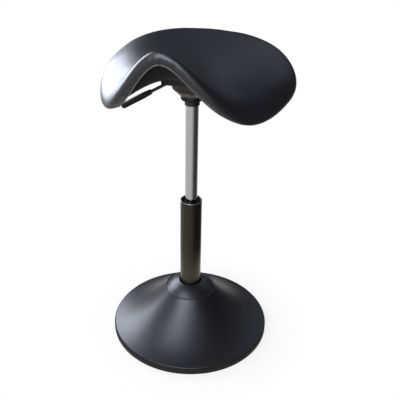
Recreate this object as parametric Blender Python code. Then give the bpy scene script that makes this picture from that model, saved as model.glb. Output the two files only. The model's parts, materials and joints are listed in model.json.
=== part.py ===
"""Saddle stool: an upholstered saddle on a gas lift, standing in a weighted bell base.

Metres, +Z up. The origin lies on the floor under the column. The seat's raised, narrow
front faces -Y, and the height lever reaches out to -X, at the sitter's right hand.
The stool is drawn at its full height.
"""

import math

import bmesh
import bpy
from mathutils import Matrix, Vector
from mathutils.geometry import interpolate_bezier

# Fits
CLEARANCE = 0.0003  # gap between two pieces that touch
RUNNING_GAP = 0.0006  # gap beside a piece that turns or slides

# Base
SOLE_RADIUS = 0.170
SOLE_THICKNESS = 0.004
SOLE_STAND = 0.0005  # how far the sole stands below the ring
RING_RADIUS = 0.1925
RING_BAND = 0.0085  # wall of the ring's upright band
RING_STEP = 0.002  # how far the band rises above the counterweight
RING_FILLET = 0.003
WEIGHT_THICKNESS = 0.010
HUB_HEIGHT = 0.008
HUB_MARGIN = 0.008  # how far the hub reaches past the flange
COVER_SETBACK = 0.0025  # bell edge inside the ring's edge
COVER_WALL = 0.0025
COVER_LIP = 0.0015  # upright edge of the bell
COVER_LIP_SLOPE = math.radians(17)
COVER_NECK_SLOPE = math.radians(50)
COLLAR_RADIUS = 0.060
COLLAR_HEIGHT = 0.022
COLLAR_WALL = 0.003
COLLAR_DRAW = 0.009  # how far the cap's side leans in
COLLAR_FILLET = 0.014
COLLAR_OVERLAP = 0.0065  # how far the bell runs on under the cap
COLLAR_LIFT = 0.003  # cap edge above the column socket
COLUMN_GAP = 0.002  # ring of shadow between cap and column

# Column socket in the base
BASE_SOCKET_WALL = 0.004
BASE_SOCKET_LENGTH = 0.088
FLANGE_WIDTH = 0.032
FLANGE_THICKNESS = 0.005
FLANGE_BOLTS = 3
FLANGE_BOLT_RADIUS = 0.004
FLANGE_BOLT_DEPTH = 0.010  # thread length below the flange
SOLE_SCREWS = 4
SOLE_SCREW_RADIUS = 0.0025
SOLE_SCREW_DEPTH = 0.006  # thread length above the sole
BOLT_HEAD_SHARE = 1.7  # head radius over shank radius
BOLT_HEAD_HEIGHT = 0.9  # head height over shank radius

# Gas lift
TUBE_RADIUS = 0.025
TUBE_WALL = 0.002
TUBE_LENGTH = 0.3375
TUBE_TAPER = 0.001  # radius lost towards the foot, inside the socket
TUBE_FOOT = 0.003  # thickness of the closed lower end
TUBE_RECESS = 0.002  # tube foot above the socket's lower end
GUIDE_LENGTH = 0.080
GUIDE_RECESS = 0.004  # bush below the tube's rim
CYLINDER_RADIUS = 0.014
CYLINDER_WALL = 0.002
CYLINDER_OVERLAP = 0.075  # length left in the tube at full height
CYLINDER_CAP = 0.004  # thickness of the closed top
CYLINDER_LIP = 0.002  # crimped edge under the rod guide
CYLINDER_TAPER = 0.0008  # radius lost over the seat socket
CHROME_LENGTH = 0.2335  # bright length between tube and seat socket
STROKE = 0.210
ROD_RADIUS = 0.005
ROD_TIP_RADIUS = 0.004
ROD_GUIDE_LENGTH = 0.013
PISTON_LENGTH = 0.012
ROD_HEAD = 0.002  # peened end above the piston
RACE_THICKNESS = 0.0015
RACE_RADIUS = 0.016
BALL_RADIUS = 0.002
BALLS = 8
CAGE_SHARE = 0.5  # cage thickness over ball diameter
WASHER_RADIUS = 0.010
CLIP_RADIUS = 0.008
CLIP_GROOVE = 0.0008
BUMP_RADIUS = 0.013

# Release mechanism
SEAT_SOCKET_WALL = 0.0022
SEAT_SOCKET_LENGTH = 0.044
SOCKET_RING_RADIUS = 0.025
SOCKET_RING_HEIGHT = 0.0115
SOCKET_RING_LIFT = 0.0115  # ring above the socket's lower end
CUP_RADIUS = 0.0435
CUP_WALL = 0.002
CUP_FLOOR_RADIUS = 0.028
CUP_BOWL_HEIGHT = 0.0155  # height of the cup's cone
VALVE_RADIUS = 0.0035
VALVE_STANDOUT = 0.006
VALVE_LENGTH = 0.016
VALVE_HEAD = 0.0025
VALVE_HEAD_RADIUS = 0.0055
LEVER_RADIUS = 0.0035
LEVER_PIVOT_REACH = 0.030  # pivot from the column's axis
LEVER_INNER_END = 0.002  # lever's end past the column's axis
LEVER_BEND_REACH = 0.034
LEVER_BEND_RADIUS = 0.014
LEVER_SLOPE = math.radians(31.5)
LEVER_TIP_REACH = 0.161
LEVER_BARREL_RADIUS = 0.0050
LEVER_BARREL_WIDTH = 0.011
LEVER_PIN_RADIUS = 0.002
LEVER_HEADROOM = 0.008  # lever's axis to the seat plate
BRACKET_SHEET = 0.002
BRACKET_LENGTH = 0.014
GRIP_LENGTH = 0.080
GRIP_RADIUS = 0.0068
GRIP_NECK_RADIUS = 0.0056
GRIP_BORE_LENGTH = 0.062
PLATE_WIDTH = 0.100
PLATE_LENGTH = 0.140
PLATE_THICKNESS = 0.003
PLATE_CORNER = 0.012
PLATE_BOLT_INSET = 0.012
PLATE_BOLT_RADIUS = 0.003
PLATE_BOLT_DEPTH = 0.004  # thread length above the plate

# Seat: a sheet bent over a saddle, padded on both sides of that sheet
SEAT_FRONT = 0.2098
SEAT_REAR = 0.1827
SEAT_HALF_WIDTH = 0.2083
FRONT_TAPER = 0.1987  # narrows the front and widens the rear
WAIST = 0.0324  # draws the sides in at the middle
SHOULDER = 0.0186  # fills the quarters in front of the middle
FRONT_RISE = 0.0837
FRONT_RISE_POWER = 2.976
REAR_RISE = 0.0108
WING_SLOPE_FRONT = 1.766
WING_SLOPE_MIDDLE = 0.497
WING_SLOPE_REAR = 0.172
ARCH_SOFTNESS_FRONT = 0.1258
ARCH_SOFTNESS_MIDDLE = 0.1418
ARCH_SOFTNESS_REAR = 0.1558
WING_DROOP = 0.0388  # extra fall at the full half width
PAD_ABOVE = 0.0262
PAD_BELOW = 0.0212
EDGE_POWER = 10.8  # how square the padded edge is
COVER_SKIN = 0.0015
HEM_SHARE = 0.940  # where the cover turns up under the edge, as a share of the outline
HEM_CHAMFER = 0.0026
POCKET_GAP = 0.0009  # room between the hem and the foam's pocket wall
POCKET_DEPTH = 0.002  # pocket floor below the sheet
SHELL_THICKNESS = 0.006
LINING_THICKNESS = 0.001
BLOCK_HEIGHT = 0.0152  # block at the column's axis

# Facets
BASE_SEGMENTS = 40
COLUMN_SEGMENTS = 28
SMALL_SEGMENTS = 16
FASTENER_SEGMENTS = 10
SEAT_SEGMENTS = 44
FRONT_CROWDING = 0.4  # how much closer the seat's facets lie at its bent front
FILLET_STEPS = 2
FLARE_STEPS = 7
CROWN_RINGS = (0.25, 0.50, 0.72)
FLOOR_RINGS = (*CROWN_RINGS, 0.86)  # rings of the shell and of the pocket for it
ROLL_ANGLES = (30, 45, 60, 75, 90)
KEEL_STEPS = 4  # steps from the edge's rim down to the hem
SMOOTH_ANGLE = math.radians(35)

# Heights of the base, from the floor up
WEIGHT_BOTTOM = SOLE_THICKNESS + CLEARANCE
WEIGHT_TOP = WEIGHT_BOTTOM + WEIGHT_THICKNESS
WEIGHT_RADIUS = RING_RADIUS - RING_BAND - CLEARANCE
RING_TOP = WEIGHT_TOP + RING_STEP
COVER_RADIUS = RING_RADIUS - COVER_SETBACK
FLANGE_BOTTOM = WEIGHT_TOP + HUB_HEIGHT + CLEARANCE
FLANGE_TOP = FLANGE_BOTTOM + FLANGE_THICKNESS
BASE_SOCKET_TOP = FLANGE_BOTTOM + BASE_SOCKET_LENGTH
BASE_SOCKET_RADIUS = TUBE_RADIUS + CLEARANCE + BASE_SOCKET_WALL
FLANGE_RADIUS = BASE_SOCKET_RADIUS + FLANGE_WIDTH
FLANGE_BOLT_CIRCLE = BASE_SOCKET_RADIUS + FLANGE_WIDTH / 2
HUB_RADIUS = FLANGE_RADIUS + HUB_MARGIN
SOLE_SCREW_CIRCLE = (HUB_RADIUS + SOLE_RADIUS) / 2
COLLAR_BOTTOM = BASE_SOCKET_TOP + COLLAR_LIFT
COLLAR_TOP = COLLAR_BOTTOM + COLLAR_HEIGHT

# Heights of the gas lift
TUBE_BOTTOM = FLANGE_BOTTOM + TUBE_RECESS
TUBE_TOP = TUBE_BOTTOM + TUBE_LENGTH
TUBE_BORE = TUBE_RADIUS - TUBE_WALL
LOWER_RACE_BOTTOM = TUBE_BOTTOM + TUBE_FOOT + CLEARANCE
BALL_CENTRE = LOWER_RACE_BOTTOM + RACE_THICKNESS + CLEARANCE + BALL_RADIUS
UPPER_RACE_BOTTOM = BALL_CENTRE + BALL_RADIUS + CLEARANCE
ROD_SHOULDER = UPPER_RACE_BOTTOM + RACE_THICKNESS + CLEARANCE
CYLINDER_BOTTOM = TUBE_TOP - CYLINDER_OVERLAP
CYLINDER_BORE = CYLINDER_RADIUS - CYLINDER_WALL
ROD_GUIDE_BOTTOM = CYLINDER_BOTTOM + CYLINDER_LIP + CLEARANCE
PISTON_BOTTOM = ROD_GUIDE_BOTTOM + ROD_GUIDE_LENGTH + CLEARANCE
PISTON_TOP = PISTON_BOTTOM + PISTON_LENGTH
BUMP_TOP = CYLINDER_BOTTOM - STROKE - RUNNING_GAP
WASHER_TOP = TUBE_BOTTOM - CLEARANCE
CLIP_TOP = WASHER_TOP - RACE_THICKNESS - CLEARANCE

# Heights of the release mechanism at full height
SEAT_SOCKET_BOTTOM = TUBE_TOP + CHROME_LENGTH
SEAT_SOCKET_TOP = SEAT_SOCKET_BOTTOM + SEAT_SOCKET_LENGTH
SEAT_SOCKET_RADIUS = CYLINDER_RADIUS + CLEARANCE + SEAT_SOCKET_WALL
SOCKET_RING_BOTTOM = SEAT_SOCKET_BOTTOM + SOCKET_RING_LIFT
CUP_BOTTOM = SOCKET_RING_BOTTOM + SOCKET_RING_HEIGHT + CLEARANCE
CYLINDER_TOP = SEAT_SOCKET_TOP + CLEARANCE
VALVE_TOP = CYLINDER_TOP + VALVE_STANDOUT
LEVER_HEIGHT = VALVE_TOP + CLEARANCE + LEVER_RADIUS
PLATE_BOTTOM = LEVER_HEIGHT + LEVER_HEADROOM
PLATE_TOP = PLATE_BOTTOM + PLATE_THICKNESS
BLOCK_BOTTOM = PLATE_TOP + CLEARANCE

# Offsets of the seat's layers from the saddle sheet, and the sheet's height over the column
SHELL_TOP = -POCKET_DEPTH - CLEARANCE
SHELL_BOTTOM = SHELL_TOP - SHELL_THICKNESS
LINING_TOP = SHELL_BOTTOM - CLEARANCE
LINING_BOTTOM = LINING_TOP - LINING_THICKNESS
SADDLE_HEIGHT = BLOCK_BOTTOM + BLOCK_HEIGHT + CLEARANCE - SHELL_BOTTOM

# Finishes: colour, roughness, metallic
FINISHES = {
    "black_leather": ((0.016, 0.017, 0.021), 0.38, 0.0),
    "dark_lining": ((0.012, 0.010, 0.009), 0.85, 0.0),
    "foam": ((0.55, 0.50, 0.36), 0.95, 0.0),
    "plywood": ((0.020, 0.016, 0.013), 0.55, 0.0),
    "chrome": ((0.80, 0.80, 0.80), 0.08, 1.0),
    "bright_steel": ((0.55, 0.55, 0.54), 0.30, 1.0),
    "black_steel": ((0.014, 0.014, 0.016), 0.32, 0.0),
    "black_plastic": ((0.018, 0.018, 0.019), 0.45, 0.0),
    "satin_black": ((0.020, 0.021, 0.027), 0.36, 0.0),
    "rubber": ((0.016, 0.014, 0.012), 0.60, 0.0),
    "cast_iron": ((0.060, 0.058, 0.056), 0.70, 0.6),
}


def clear_scene():
    """Removes what the startup file holds."""
    for item in list(bpy.data.objects):
        bpy.data.objects.remove(item, do_unlink=True)


def finish(name):
    """The named finish as a material, made on first use."""
    if name in bpy.data.materials:
        return bpy.data.materials[name]
    colour, roughness, metallic = FINISHES[name]
    material = bpy.data.materials.new(name)
    material.use_nodes = True
    shader = material.node_tree.nodes["Principled BSDF"]
    shader.inputs["Base Color"].default_value = (*colour, 1)
    shader.inputs["Roughness"].default_value = roughness
    shader.inputs["Metallic"].default_value = metallic
    return material


def axis_empty(name, place, parent=None):
    """An empty on a joint's axis, which carries the pieces that move about it."""
    empty = bpy.data.objects.new(name, None)
    bpy.context.collection.objects.link(empty)
    empty.location = place
    hang(empty, parent)
    return empty


def hang(item, parent):
    """Parents an object and leaves it where it is."""
    if parent is None:
        return
    bpy.context.view_layer.update()
    item.parent = parent
    item.matrix_parent_inverse = parent.matrix_world.inverted()


def piece(name, shape, finish_name, parent, place=(0, 0, 0)):
    """Makes an object from a bmesh, shaded smooth but for its sharp edges."""
    mesh = bpy.data.meshes.new(name)
    shape.to_mesh(mesh)
    shape.free()
    mesh.shade_smooth()
    mesh.set_sharp_from_angle(angle=SMOOTH_ANGLE)
    mesh.materials.append(finish(finish_name))
    item = bpy.data.objects.new(name, mesh)
    bpy.context.collection.objects.link(item)
    item.location = place
    hang(item, parent)
    return item


def tool(name, shape):
    """Makes a helper for a Boolean, which isn't a piece of the stool."""
    mesh = bpy.data.meshes.new(name)
    shape.to_mesh(mesh)
    shape.free()
    item = bpy.data.objects.new(name, mesh)
    bpy.context.collection.objects.link(item)
    item.hide_render = True
    item.display_type = "WIRE"
    return item


def combine(item, other, operation="DIFFERENCE"):
    """Cuts a helper's shape out of a piece, or joins it to the piece."""
    modifier = item.modifiers.new(other.name, "BOOLEAN")
    modifier.operation = operation
    modifier.solver = "EXACT"
    modifier.object = other


def rounded(outline):
    """Turns each (radius, height, fillet) corner of an outline into an arc."""
    points = []
    for index, corner in enumerate(outline):
        here = Vector(corner[:2])
        if len(corner) == 2:
            points.append(here)
            continue
        before = (Vector(outline[index - 1][:2]) - here).normalized()
        after = (Vector(outline[(index + 1) % len(outline)][:2]) - here).normalized()
        half = before.angle(after) / 2
        centre = here + (before + after).normalized() * corner[2] / math.sin(half)
        start = (here + before * corner[2] / math.tan(half) - centre).normalized()
        end = (here + after * corner[2] / math.tan(half) - centre).normalized()
        shares = [step / FILLET_STEPS for step in range(FILLET_STEPS + 1)]
        points += [centre + start.slerp(end, share) * corner[2] for share in shares]
    return points


def spun(outline, segments):
    """Spins a closed outline of (radius, height) points about the Z axis."""
    shape = bmesh.new()
    ring = [shape.verts.new((point[0], 0, point[1])) for point in outline]
    edges = [
        shape.edges.new((ring[index - 1], ring[index]))
        for index in range(len(ring))
        if outline[index - 1][0] > 0 or outline[index][0] > 0
    ]
    bmesh.ops.spin(
        shape,
        geom=ring + edges,
        cent=(0, 0, 0),
        axis=(0, 0, 1),
        angle=2 * math.pi,
        steps=segments,
        use_merge=True,
    )
    bmesh.ops.remove_doubles(shape, verts=shape.verts, dist=1e-6)
    bmesh.ops.recalc_face_normals(shape, faces=shape.faces)
    return shape


def turned(name, outline, segments, finish_name, parent, place=(0, 0, 0)):
    """A turned piece, from an outline whose corners may carry fillets."""
    return piece(name, spun(rounded(outline), segments), finish_name, parent, place)


def sleeve(inner, outer, bottom, top):
    """Outline of a plain ring."""
    return [(inner, bottom), (outer, bottom), (outer, top), (inner, top)]


def pins(name, centres, radius, bottom, top):
    """A helper of upright pins, one at each centre."""
    shape = bmesh.new()
    for x, y in centres:
        bmesh.ops.create_cone(
            shape,
            cap_ends=True,
            segments=FASTENER_SEGMENTS,
            radius1=radius,
            radius2=radius,
            depth=top - bottom,
            matrix=Matrix.Translation((x, y, (bottom + top) / 2)),
        )
    return tool(name, shape)


def circle_of(count, radius, start=0.0):
    """Centres spaced evenly round a circle."""
    angles = [start + 2 * math.pi * index / count for index in range(count)]
    return [(radius * math.cos(angle), radius * math.sin(angle)) for angle in angles]


def bolts(name, centres, radius, seat, depth, head_up, parent):
    """Round-headed bolts whose heads seat at one height, on the side that head_up says."""
    way = 1 if head_up else -1
    head = radius * BOLT_HEAD_SHARE
    crown = seat + way * (CLEARANCE + radius * BOLT_HEAD_HEIGHT)
    for index, (x, y) in enumerate(centres):
        outline = [
            (0, seat - way * depth),
            (radius, seat - way * depth),
            (radius, seat + way * CLEARANCE),
            (head, seat + way * CLEARANCE),
            (head, crown - way * radius * BOLT_HEAD_HEIGHT / 2),
            (radius, crown),
            (0, crown),
        ]
        turned(f"{name}_{index + 1}", outline, FASTENER_SEGMENTS, "bright_steel", parent, (x, y, 0))


# Base


def make_sole(base, screw_centres):
    sole = turned(
        "sole_pad",
        [(0, 0), (SOLE_RADIUS, 0), (SOLE_RADIUS, SOLE_THICKNESS), (0, SOLE_THICKNESS)],
        BASE_SEGMENTS,
        "rubber",
        base,
    )
    head = SOLE_SCREW_RADIUS * BOLT_HEAD_SHARE + CLEARANCE
    recess = SOLE_SCREW_RADIUS * BOLT_HEAD_HEIGHT + 2 * CLEARANCE
    combine(sole, pins("sole_screw_heads", screw_centres, head, -recess, recess))
    shank = SOLE_SCREW_RADIUS + CLEARANCE
    combine(sole, pins("sole_screw_holes", screw_centres, shank, -recess, 2 * SOLE_THICKNESS))
    depth = SOLE_THICKNESS - recess + SOLE_SCREW_DEPTH
    bolts("sole_screw", screw_centres, SOLE_SCREW_RADIUS, recess, depth, False, base)


def make_ring(base):
    inner = SOLE_RADIUS + CLEARANCE
    ledge = WEIGHT_BOTTOM - CLEARANCE
    band = RING_RADIUS - RING_BAND
    outline = [
        (inner, SOLE_STAND),
        (RING_RADIUS, SOLE_STAND, RING_FILLET),
        (RING_RADIUS, RING_TOP, RING_FILLET),
        (band, RING_TOP),
        (band, ledge),
        (inner, ledge),
    ]
    turned("base_ring", outline, BASE_SEGMENTS, "rubber", base)


def make_counterweight(base, screw_centres, bolt_centres):
    bore = BASE_SOCKET_RADIUS
    hub = WEIGHT_TOP + HUB_HEIGHT
    outline = [
        (bore, WEIGHT_BOTTOM),
        (WEIGHT_RADIUS, WEIGHT_BOTTOM),
        (WEIGHT_RADIUS, WEIGHT_TOP),
        (HUB_RADIUS + HUB_HEIGHT, WEIGHT_TOP),
        (HUB_RADIUS, hub),
        (bore, hub),
    ]
    weight = turned("counterweight", outline, BASE_SEGMENTS, "cast_iron", base)
    shank = SOLE_SCREW_RADIUS + CLEARANCE
    depth = SOLE_THICKNESS + SOLE_SCREW_DEPTH + CLEARANCE
    combine(weight, pins("weight_screw_holes", screw_centres, shank, 0, depth))
    shank = FLANGE_BOLT_RADIUS + CLEARANCE
    floor = FLANGE_BOTTOM - FLANGE_BOLT_DEPTH - CLEARANCE
    combine(weight, pins("weight_bolt_holes", bolt_centres, shank, floor, FLANGE_TOP))


def make_column_socket(base, bolt_centres):
    mouth = TUBE_RADIUS + CLEARANCE
    foot = mouth - TUBE_TAPER
    outline = [
        (foot, FLANGE_BOTTOM),
        (FLANGE_RADIUS, FLANGE_BOTTOM),
        (FLANGE_RADIUS, FLANGE_TOP),
        (BASE_SOCKET_RADIUS, FLANGE_TOP),
        (BASE_SOCKET_RADIUS, BASE_SOCKET_TOP),
        (mouth, BASE_SOCKET_TOP),
        (foot, TUBE_BOTTOM),
    ]
    socket = turned("column_socket", outline, COLUMN_SEGMENTS, "black_steel", base)
    shank = FLANGE_BOLT_RADIUS + CLEARANCE
    holes = pins("flange_holes", bolt_centres, shank, FLANGE_BOTTOM / 2, FLANGE_TOP + FLANGE_THICKNESS)
    combine(socket, holes)
    depth = FLANGE_THICKNESS + FLANGE_BOLT_DEPTH
    bolts("flange_bolt", bolt_centres, FLANGE_BOLT_RADIUS, FLANGE_TOP, depth, True, base)


def make_cover(base):
    """The bell: a trumpet curve from under the cap down to the upright lip."""
    lip_bottom = RING_TOP + CLEARANCE
    neck_radius = COLLAR_RADIUS - COLLAR_OVERLAP
    neck_rise = COLLAR_OVERLAP * math.tan(COVER_NECK_SLOPE) - 2 * CLEARANCE
    neck = Vector((neck_radius, COLLAR_BOTTOM + neck_rise))
    lip = Vector((COVER_RADIUS, lip_bottom + COVER_LIP))
    pull = (lip - neck).length / 3
    neck_way = Vector((math.cos(COVER_NECK_SLOPE), -math.sin(COVER_NECK_SLOPE)))
    lip_way = Vector((-math.cos(COVER_LIP_SLOPE), math.sin(COVER_LIP_SLOPE)))
    outside = interpolate_bezier(neck, neck + neck_way * pull, lip + lip_way * pull, lip, FLARE_STEPS + 1)
    steps = [end - start for start, end in zip(outside, outside[1:])]
    steps.append(Vector((math.cos(COVER_LIP_SLOPE), -math.sin(COVER_LIP_SLOPE))))
    inside = [
        point + Vector((step.y, -step.x)).normalized() * COVER_WALL
        for point, step in zip(outside, steps)
    ]
    inside[-1] = Vector((COVER_RADIUS - COVER_WALL, lip_bottom))
    outline = [*outside, Vector((COVER_RADIUS, lip_bottom)), *reversed(inside)]
    turned("base_cover", outline, BASE_SEGMENTS, "satin_black", base)


def make_collar(base):
    """Domed cap over the top of the bell, with a hole that leaves a dark ring round the column."""
    hole = TUBE_RADIUS + COLUMN_GAP
    shoulder = COLLAR_RADIUS - COLLAR_DRAW
    ceiling = COLLAR_TOP - COLLAR_WALL
    sleeve_end = COLLAR_TOP - COLLAR_HEIGHT * 2 / 3
    outline = [
        (COLLAR_RADIUS, COLLAR_BOTTOM),
        (shoulder, COLLAR_TOP, COLLAR_FILLET),
        (hole, COLLAR_TOP, COLLAR_WALL / 2),
        (hole, sleeve_end),
        (hole + COLLAR_WALL, sleeve_end),
        (hole + COLLAR_WALL, ceiling),
        (shoulder - COLLAR_WALL * 2, ceiling),
        (COLLAR_RADIUS - COLLAR_WALL, COLLAR_BOTTOM + COLLAR_WALL * math.tan(COVER_NECK_SLOPE)),
    ]
    turned("collar_cap", outline, BASE_SEGMENTS, "satin_black", base)


# Gas lift


def make_tube(base):
    """Column tube: its foot is closed but for the rod's hole, and tapers to wedge in the socket."""
    foot = TUBE_RADIUS - TUBE_TAPER
    outline = [
        (ROD_TIP_RADIUS + RUNNING_GAP, TUBE_BOTTOM),
        (foot, TUBE_BOTTOM),
        (TUBE_RADIUS, BASE_SOCKET_TOP),
        (TUBE_RADIUS, TUBE_TOP, TUBE_WALL / 2.2),
        (TUBE_BORE, TUBE_TOP, TUBE_WALL / 2.2),
        (TUBE_BORE, BASE_SOCKET_TOP),
        (foot - TUBE_WALL, TUBE_BOTTOM + TUBE_FOOT),
        (ROD_TIP_RADIUS + RUNNING_GAP, TUBE_BOTTOM + TUBE_FOOT),
    ]
    turned("outer_tube", outline, COLUMN_SEGMENTS, "black_steel", base)
    top = TUBE_TOP - GUIDE_RECESS
    inner = CYLINDER_RADIUS + RUNNING_GAP
    outer = TUBE_BORE - CLEARANCE
    bush = [(inner, top - GUIDE_LENGTH), (outer, top - GUIDE_LENGTH), (outer, top), (inner, top, TUBE_WALL / 2)]
    turned("guide_bush", bush, COLUMN_SEGMENTS, "black_plastic", base)


def make_bearing(base, cage_axis, swivel):
    """Thrust bearing between the tube's foot and the rod's shoulder."""
    bore = ROD_TIP_RADIUS + CLEARANCE
    lower = LOWER_RACE_BOTTOM
    race = sleeve(bore + RUNNING_GAP, RACE_RADIUS, lower, lower + RACE_THICKNESS)
    turned("lower_race", race, SMALL_SEGMENTS, "bright_steel", base)
    upper = UPPER_RACE_BOTTOM
    race = sleeve(bore, RACE_RADIUS, upper, upper + RACE_THICKNESS)
    turned("upper_race", race, SMALL_SEGMENTS, "bright_steel", swivel)
    half = BALL_RADIUS * CAGE_SHARE
    ring = sleeve(bore + RUNNING_GAP, RACE_RADIUS - RUNNING_GAP, BALL_CENTRE - half, BALL_CENTRE + half)
    cage = turned("ball_cage", ring, SMALL_SEGMENTS, "bright_steel", cage_axis)
    balls = bmesh.new()
    for x, y in circle_of(BALLS, (bore + RACE_RADIUS) / 2):
        bmesh.ops.create_uvsphere(
            balls,
            u_segments=6,
            v_segments=4,
            radius=BALL_RADIUS,
            matrix=Matrix.Translation((x, y, BALL_CENTRE)),
        )
    combine(cage, tool("bearing_balls", balls), "UNION")


def make_rod(swivel):
    """Piston rod with its piston, the end stop round it and what holds it in the tube's foot."""
    groove = ROD_TIP_RADIUS - CLIP_GROOVE
    clip_bottom = CLIP_TOP - RACE_THICKNESS
    tip = clip_bottom - CLIP_GROOVE * 2
    spigot = PISTON_TOP + CLEARANCE
    outline = [
        (0, tip),
        (ROD_TIP_RADIUS, tip),
        (ROD_TIP_RADIUS, clip_bottom - CLEARANCE),
        (groove, clip_bottom - CLEARANCE),
        (groove, CLIP_TOP + CLEARANCE / 2),
        (ROD_TIP_RADIUS, CLIP_TOP + CLEARANCE / 2),
        (ROD_TIP_RADIUS, ROD_SHOULDER),
        (ROD_RADIUS, ROD_SHOULDER),
        (ROD_RADIUS, PISTON_BOTTOM - CLEARANCE),
        (ROD_TIP_RADIUS, PISTON_BOTTOM - CLEARANCE),
        (ROD_TIP_RADIUS, spigot),
        (ROD_RADIUS, spigot),
        (ROD_TIP_RADIUS, spigot + ROD_HEAD),
        (0, spigot + ROD_HEAD),
    ]
    turned("piston_rod", outline, SMALL_SEGMENTS, "bright_steel", swivel)
    bore = ROD_TIP_RADIUS + CLEARANCE
    head = sleeve(bore, CYLINDER_BORE - CLEARANCE, PISTON_BOTTOM, PISTON_TOP)
    turned("piston", head, SMALL_SEGMENTS, "bright_steel", swivel)
    stop = sleeve(ROD_RADIUS + CLEARANCE, BUMP_RADIUS, ROD_SHOULDER, BUMP_TOP)
    turned("bump_stop", stop, SMALL_SEGMENTS, "rubber", swivel)
    washer = sleeve(bore, WASHER_RADIUS, WASHER_TOP - RACE_THICKNESS, WASHER_TOP)
    turned("rod_washer", washer, SMALL_SEGMENTS, "bright_steel", swivel)
    clip = sleeve(groove + CLEARANCE, CLIP_RADIUS, clip_bottom, CLIP_TOP)
    turned("rod_clip", clip, SMALL_SEGMENTS, "bright_steel", swivel)


def make_cylinder(lift):
    """Chromed cylinder: crimped round the rod guide below, tapered and capped above."""
    outline = [
        (ROD_RADIUS + RUNNING_GAP, CYLINDER_BOTTOM),
        (CYLINDER_RADIUS, CYLINDER_BOTTOM, CYLINDER_LIP / 2),
        (CYLINDER_RADIUS, SEAT_SOCKET_BOTTOM),
        (CYLINDER_RADIUS - CYLINDER_TAPER, CYLINDER_TOP),
        (VALVE_RADIUS + CLEARANCE, CYLINDER_TOP),
        (VALVE_RADIUS + CLEARANCE, CYLINDER_TOP - CYLINDER_CAP),
        (CYLINDER_BORE - CYLINDER_TAPER, CYLINDER_TOP - CYLINDER_CAP),
        (CYLINDER_BORE, SEAT_SOCKET_BOTTOM),
        (CYLINDER_BORE, CYLINDER_BOTTOM + CYLINDER_LIP),
        (ROD_RADIUS + RUNNING_GAP, CYLINDER_BOTTOM + CYLINDER_LIP),
    ]
    turned("gas_cylinder", outline, COLUMN_SEGMENTS, "chrome", lift)
    guide_top = ROD_GUIDE_BOTTOM + ROD_GUIDE_LENGTH
    guide = sleeve(ROD_RADIUS + CLEARANCE, CYLINDER_BORE - CLEARANCE, ROD_GUIDE_BOTTOM, guide_top)
    turned("rod_guide", guide, SMALL_SEGMENTS, "black_plastic", lift)


# Release mechanism


def make_socket(lift):
    """Tapered socket on the cylinder's top, the ring round it and the cup that they carry."""
    mouth = CYLINDER_RADIUS + CLEARANCE
    outline = [
        (mouth, SEAT_SOCKET_BOTTOM),
        (SEAT_SOCKET_RADIUS, SEAT_SOCKET_BOTTOM, SEAT_SOCKET_WALL / 3),
        (SEAT_SOCKET_RADIUS, SEAT_SOCKET_TOP),
        (mouth - CYLINDER_TAPER, SEAT_SOCKET_TOP),
    ]
    turned("seat_socket", outline, COLUMN_SEGMENTS, "black_steel", lift)
    bore = SEAT_SOCKET_RADIUS + CLEARANCE
    top = SOCKET_RING_BOTTOM + SOCKET_RING_HEIGHT
    outline = [
        (bore, SOCKET_RING_BOTTOM),
        (SOCKET_RING_RADIUS, SOCKET_RING_BOTTOM, SOCKET_RING_HEIGHT / 3),
        (SOCKET_RING_RADIUS, top, SOCKET_RING_HEIGHT / 8),
        (bore, top),
    ]
    turned("socket_ring", outline, COLUMN_SEGMENTS, "black_plastic", lift)


def make_cup(lift):
    """Pressed cup under the seat plate, notched where the lever leaves it."""
    bore = SEAT_SOCKET_RADIUS + CLEARANCE
    rim = PLATE_BOTTOM - CLEARANCE
    shoulder = CUP_BOTTOM + CUP_BOWL_HEIGHT
    outline = [
        (bore, CUP_BOTTOM),
        (CUP_FLOOR_RADIUS, CUP_BOTTOM, CUP_WALL * 2),
        (CUP_RADIUS, shoulder, CUP_WALL * 2),
        (CUP_RADIUS, rim),
        (CUP_RADIUS - CUP_WALL, rim),
        (CUP_RADIUS - CUP_WALL, shoulder + CUP_WALL / 2),
        (CUP_FLOOR_RADIUS - CUP_WALL / 2, CUP_BOTTOM + CUP_WALL),
        (bore, CUP_BOTTOM + CUP_WALL),
    ]
    cup = turned("mechanism_cup", outline, COLUMN_SEGMENTS, "black_steel", lift)
    drop = (CUP_RADIUS - LEVER_BEND_REACH) * math.tan(LEVER_SLOPE)
    notch_bottom = LEVER_HEIGHT - drop - 2 * LEVER_RADIUS
    notch = bmesh.new()
    height = PLATE_BOTTOM + CUP_WALL - notch_bottom
    width = 2 * LEVER_RADIUS + 2 * CUP_WALL
    bmesh.ops.create_cube(
        notch,
        size=1,
        matrix=Matrix.Translation((-CUP_RADIUS, 0, notch_bottom + height / 2))
        @ Matrix.Diagonal((8 * CUP_WALL, width, height, 1)),
    )
    combine(cup, tool("lever_notch", notch))


def slab(width, length, bottom, top, corner):
    """A flat block with rounded upright corners."""
    shape = bmesh.new()
    bmesh.ops.create_cube(
        shape,
        size=1,
        matrix=Matrix.Translation((0, 0, (bottom + top) / 2))
        @ Matrix.Diagonal((width, length, top - bottom, 1)),
    )
    uprights = [edge for edge in shape.edges if edge.verts[0].co.xy == edge.verts[1].co.xy]
    bmesh.ops.bevel(
        shape,
        geom=uprights,
        offset=corner,
        offset_type="OFFSET",
        segments=FILLET_STEPS,
        profile=0.5,
        affect="EDGES",
    )
    return shape


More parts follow.
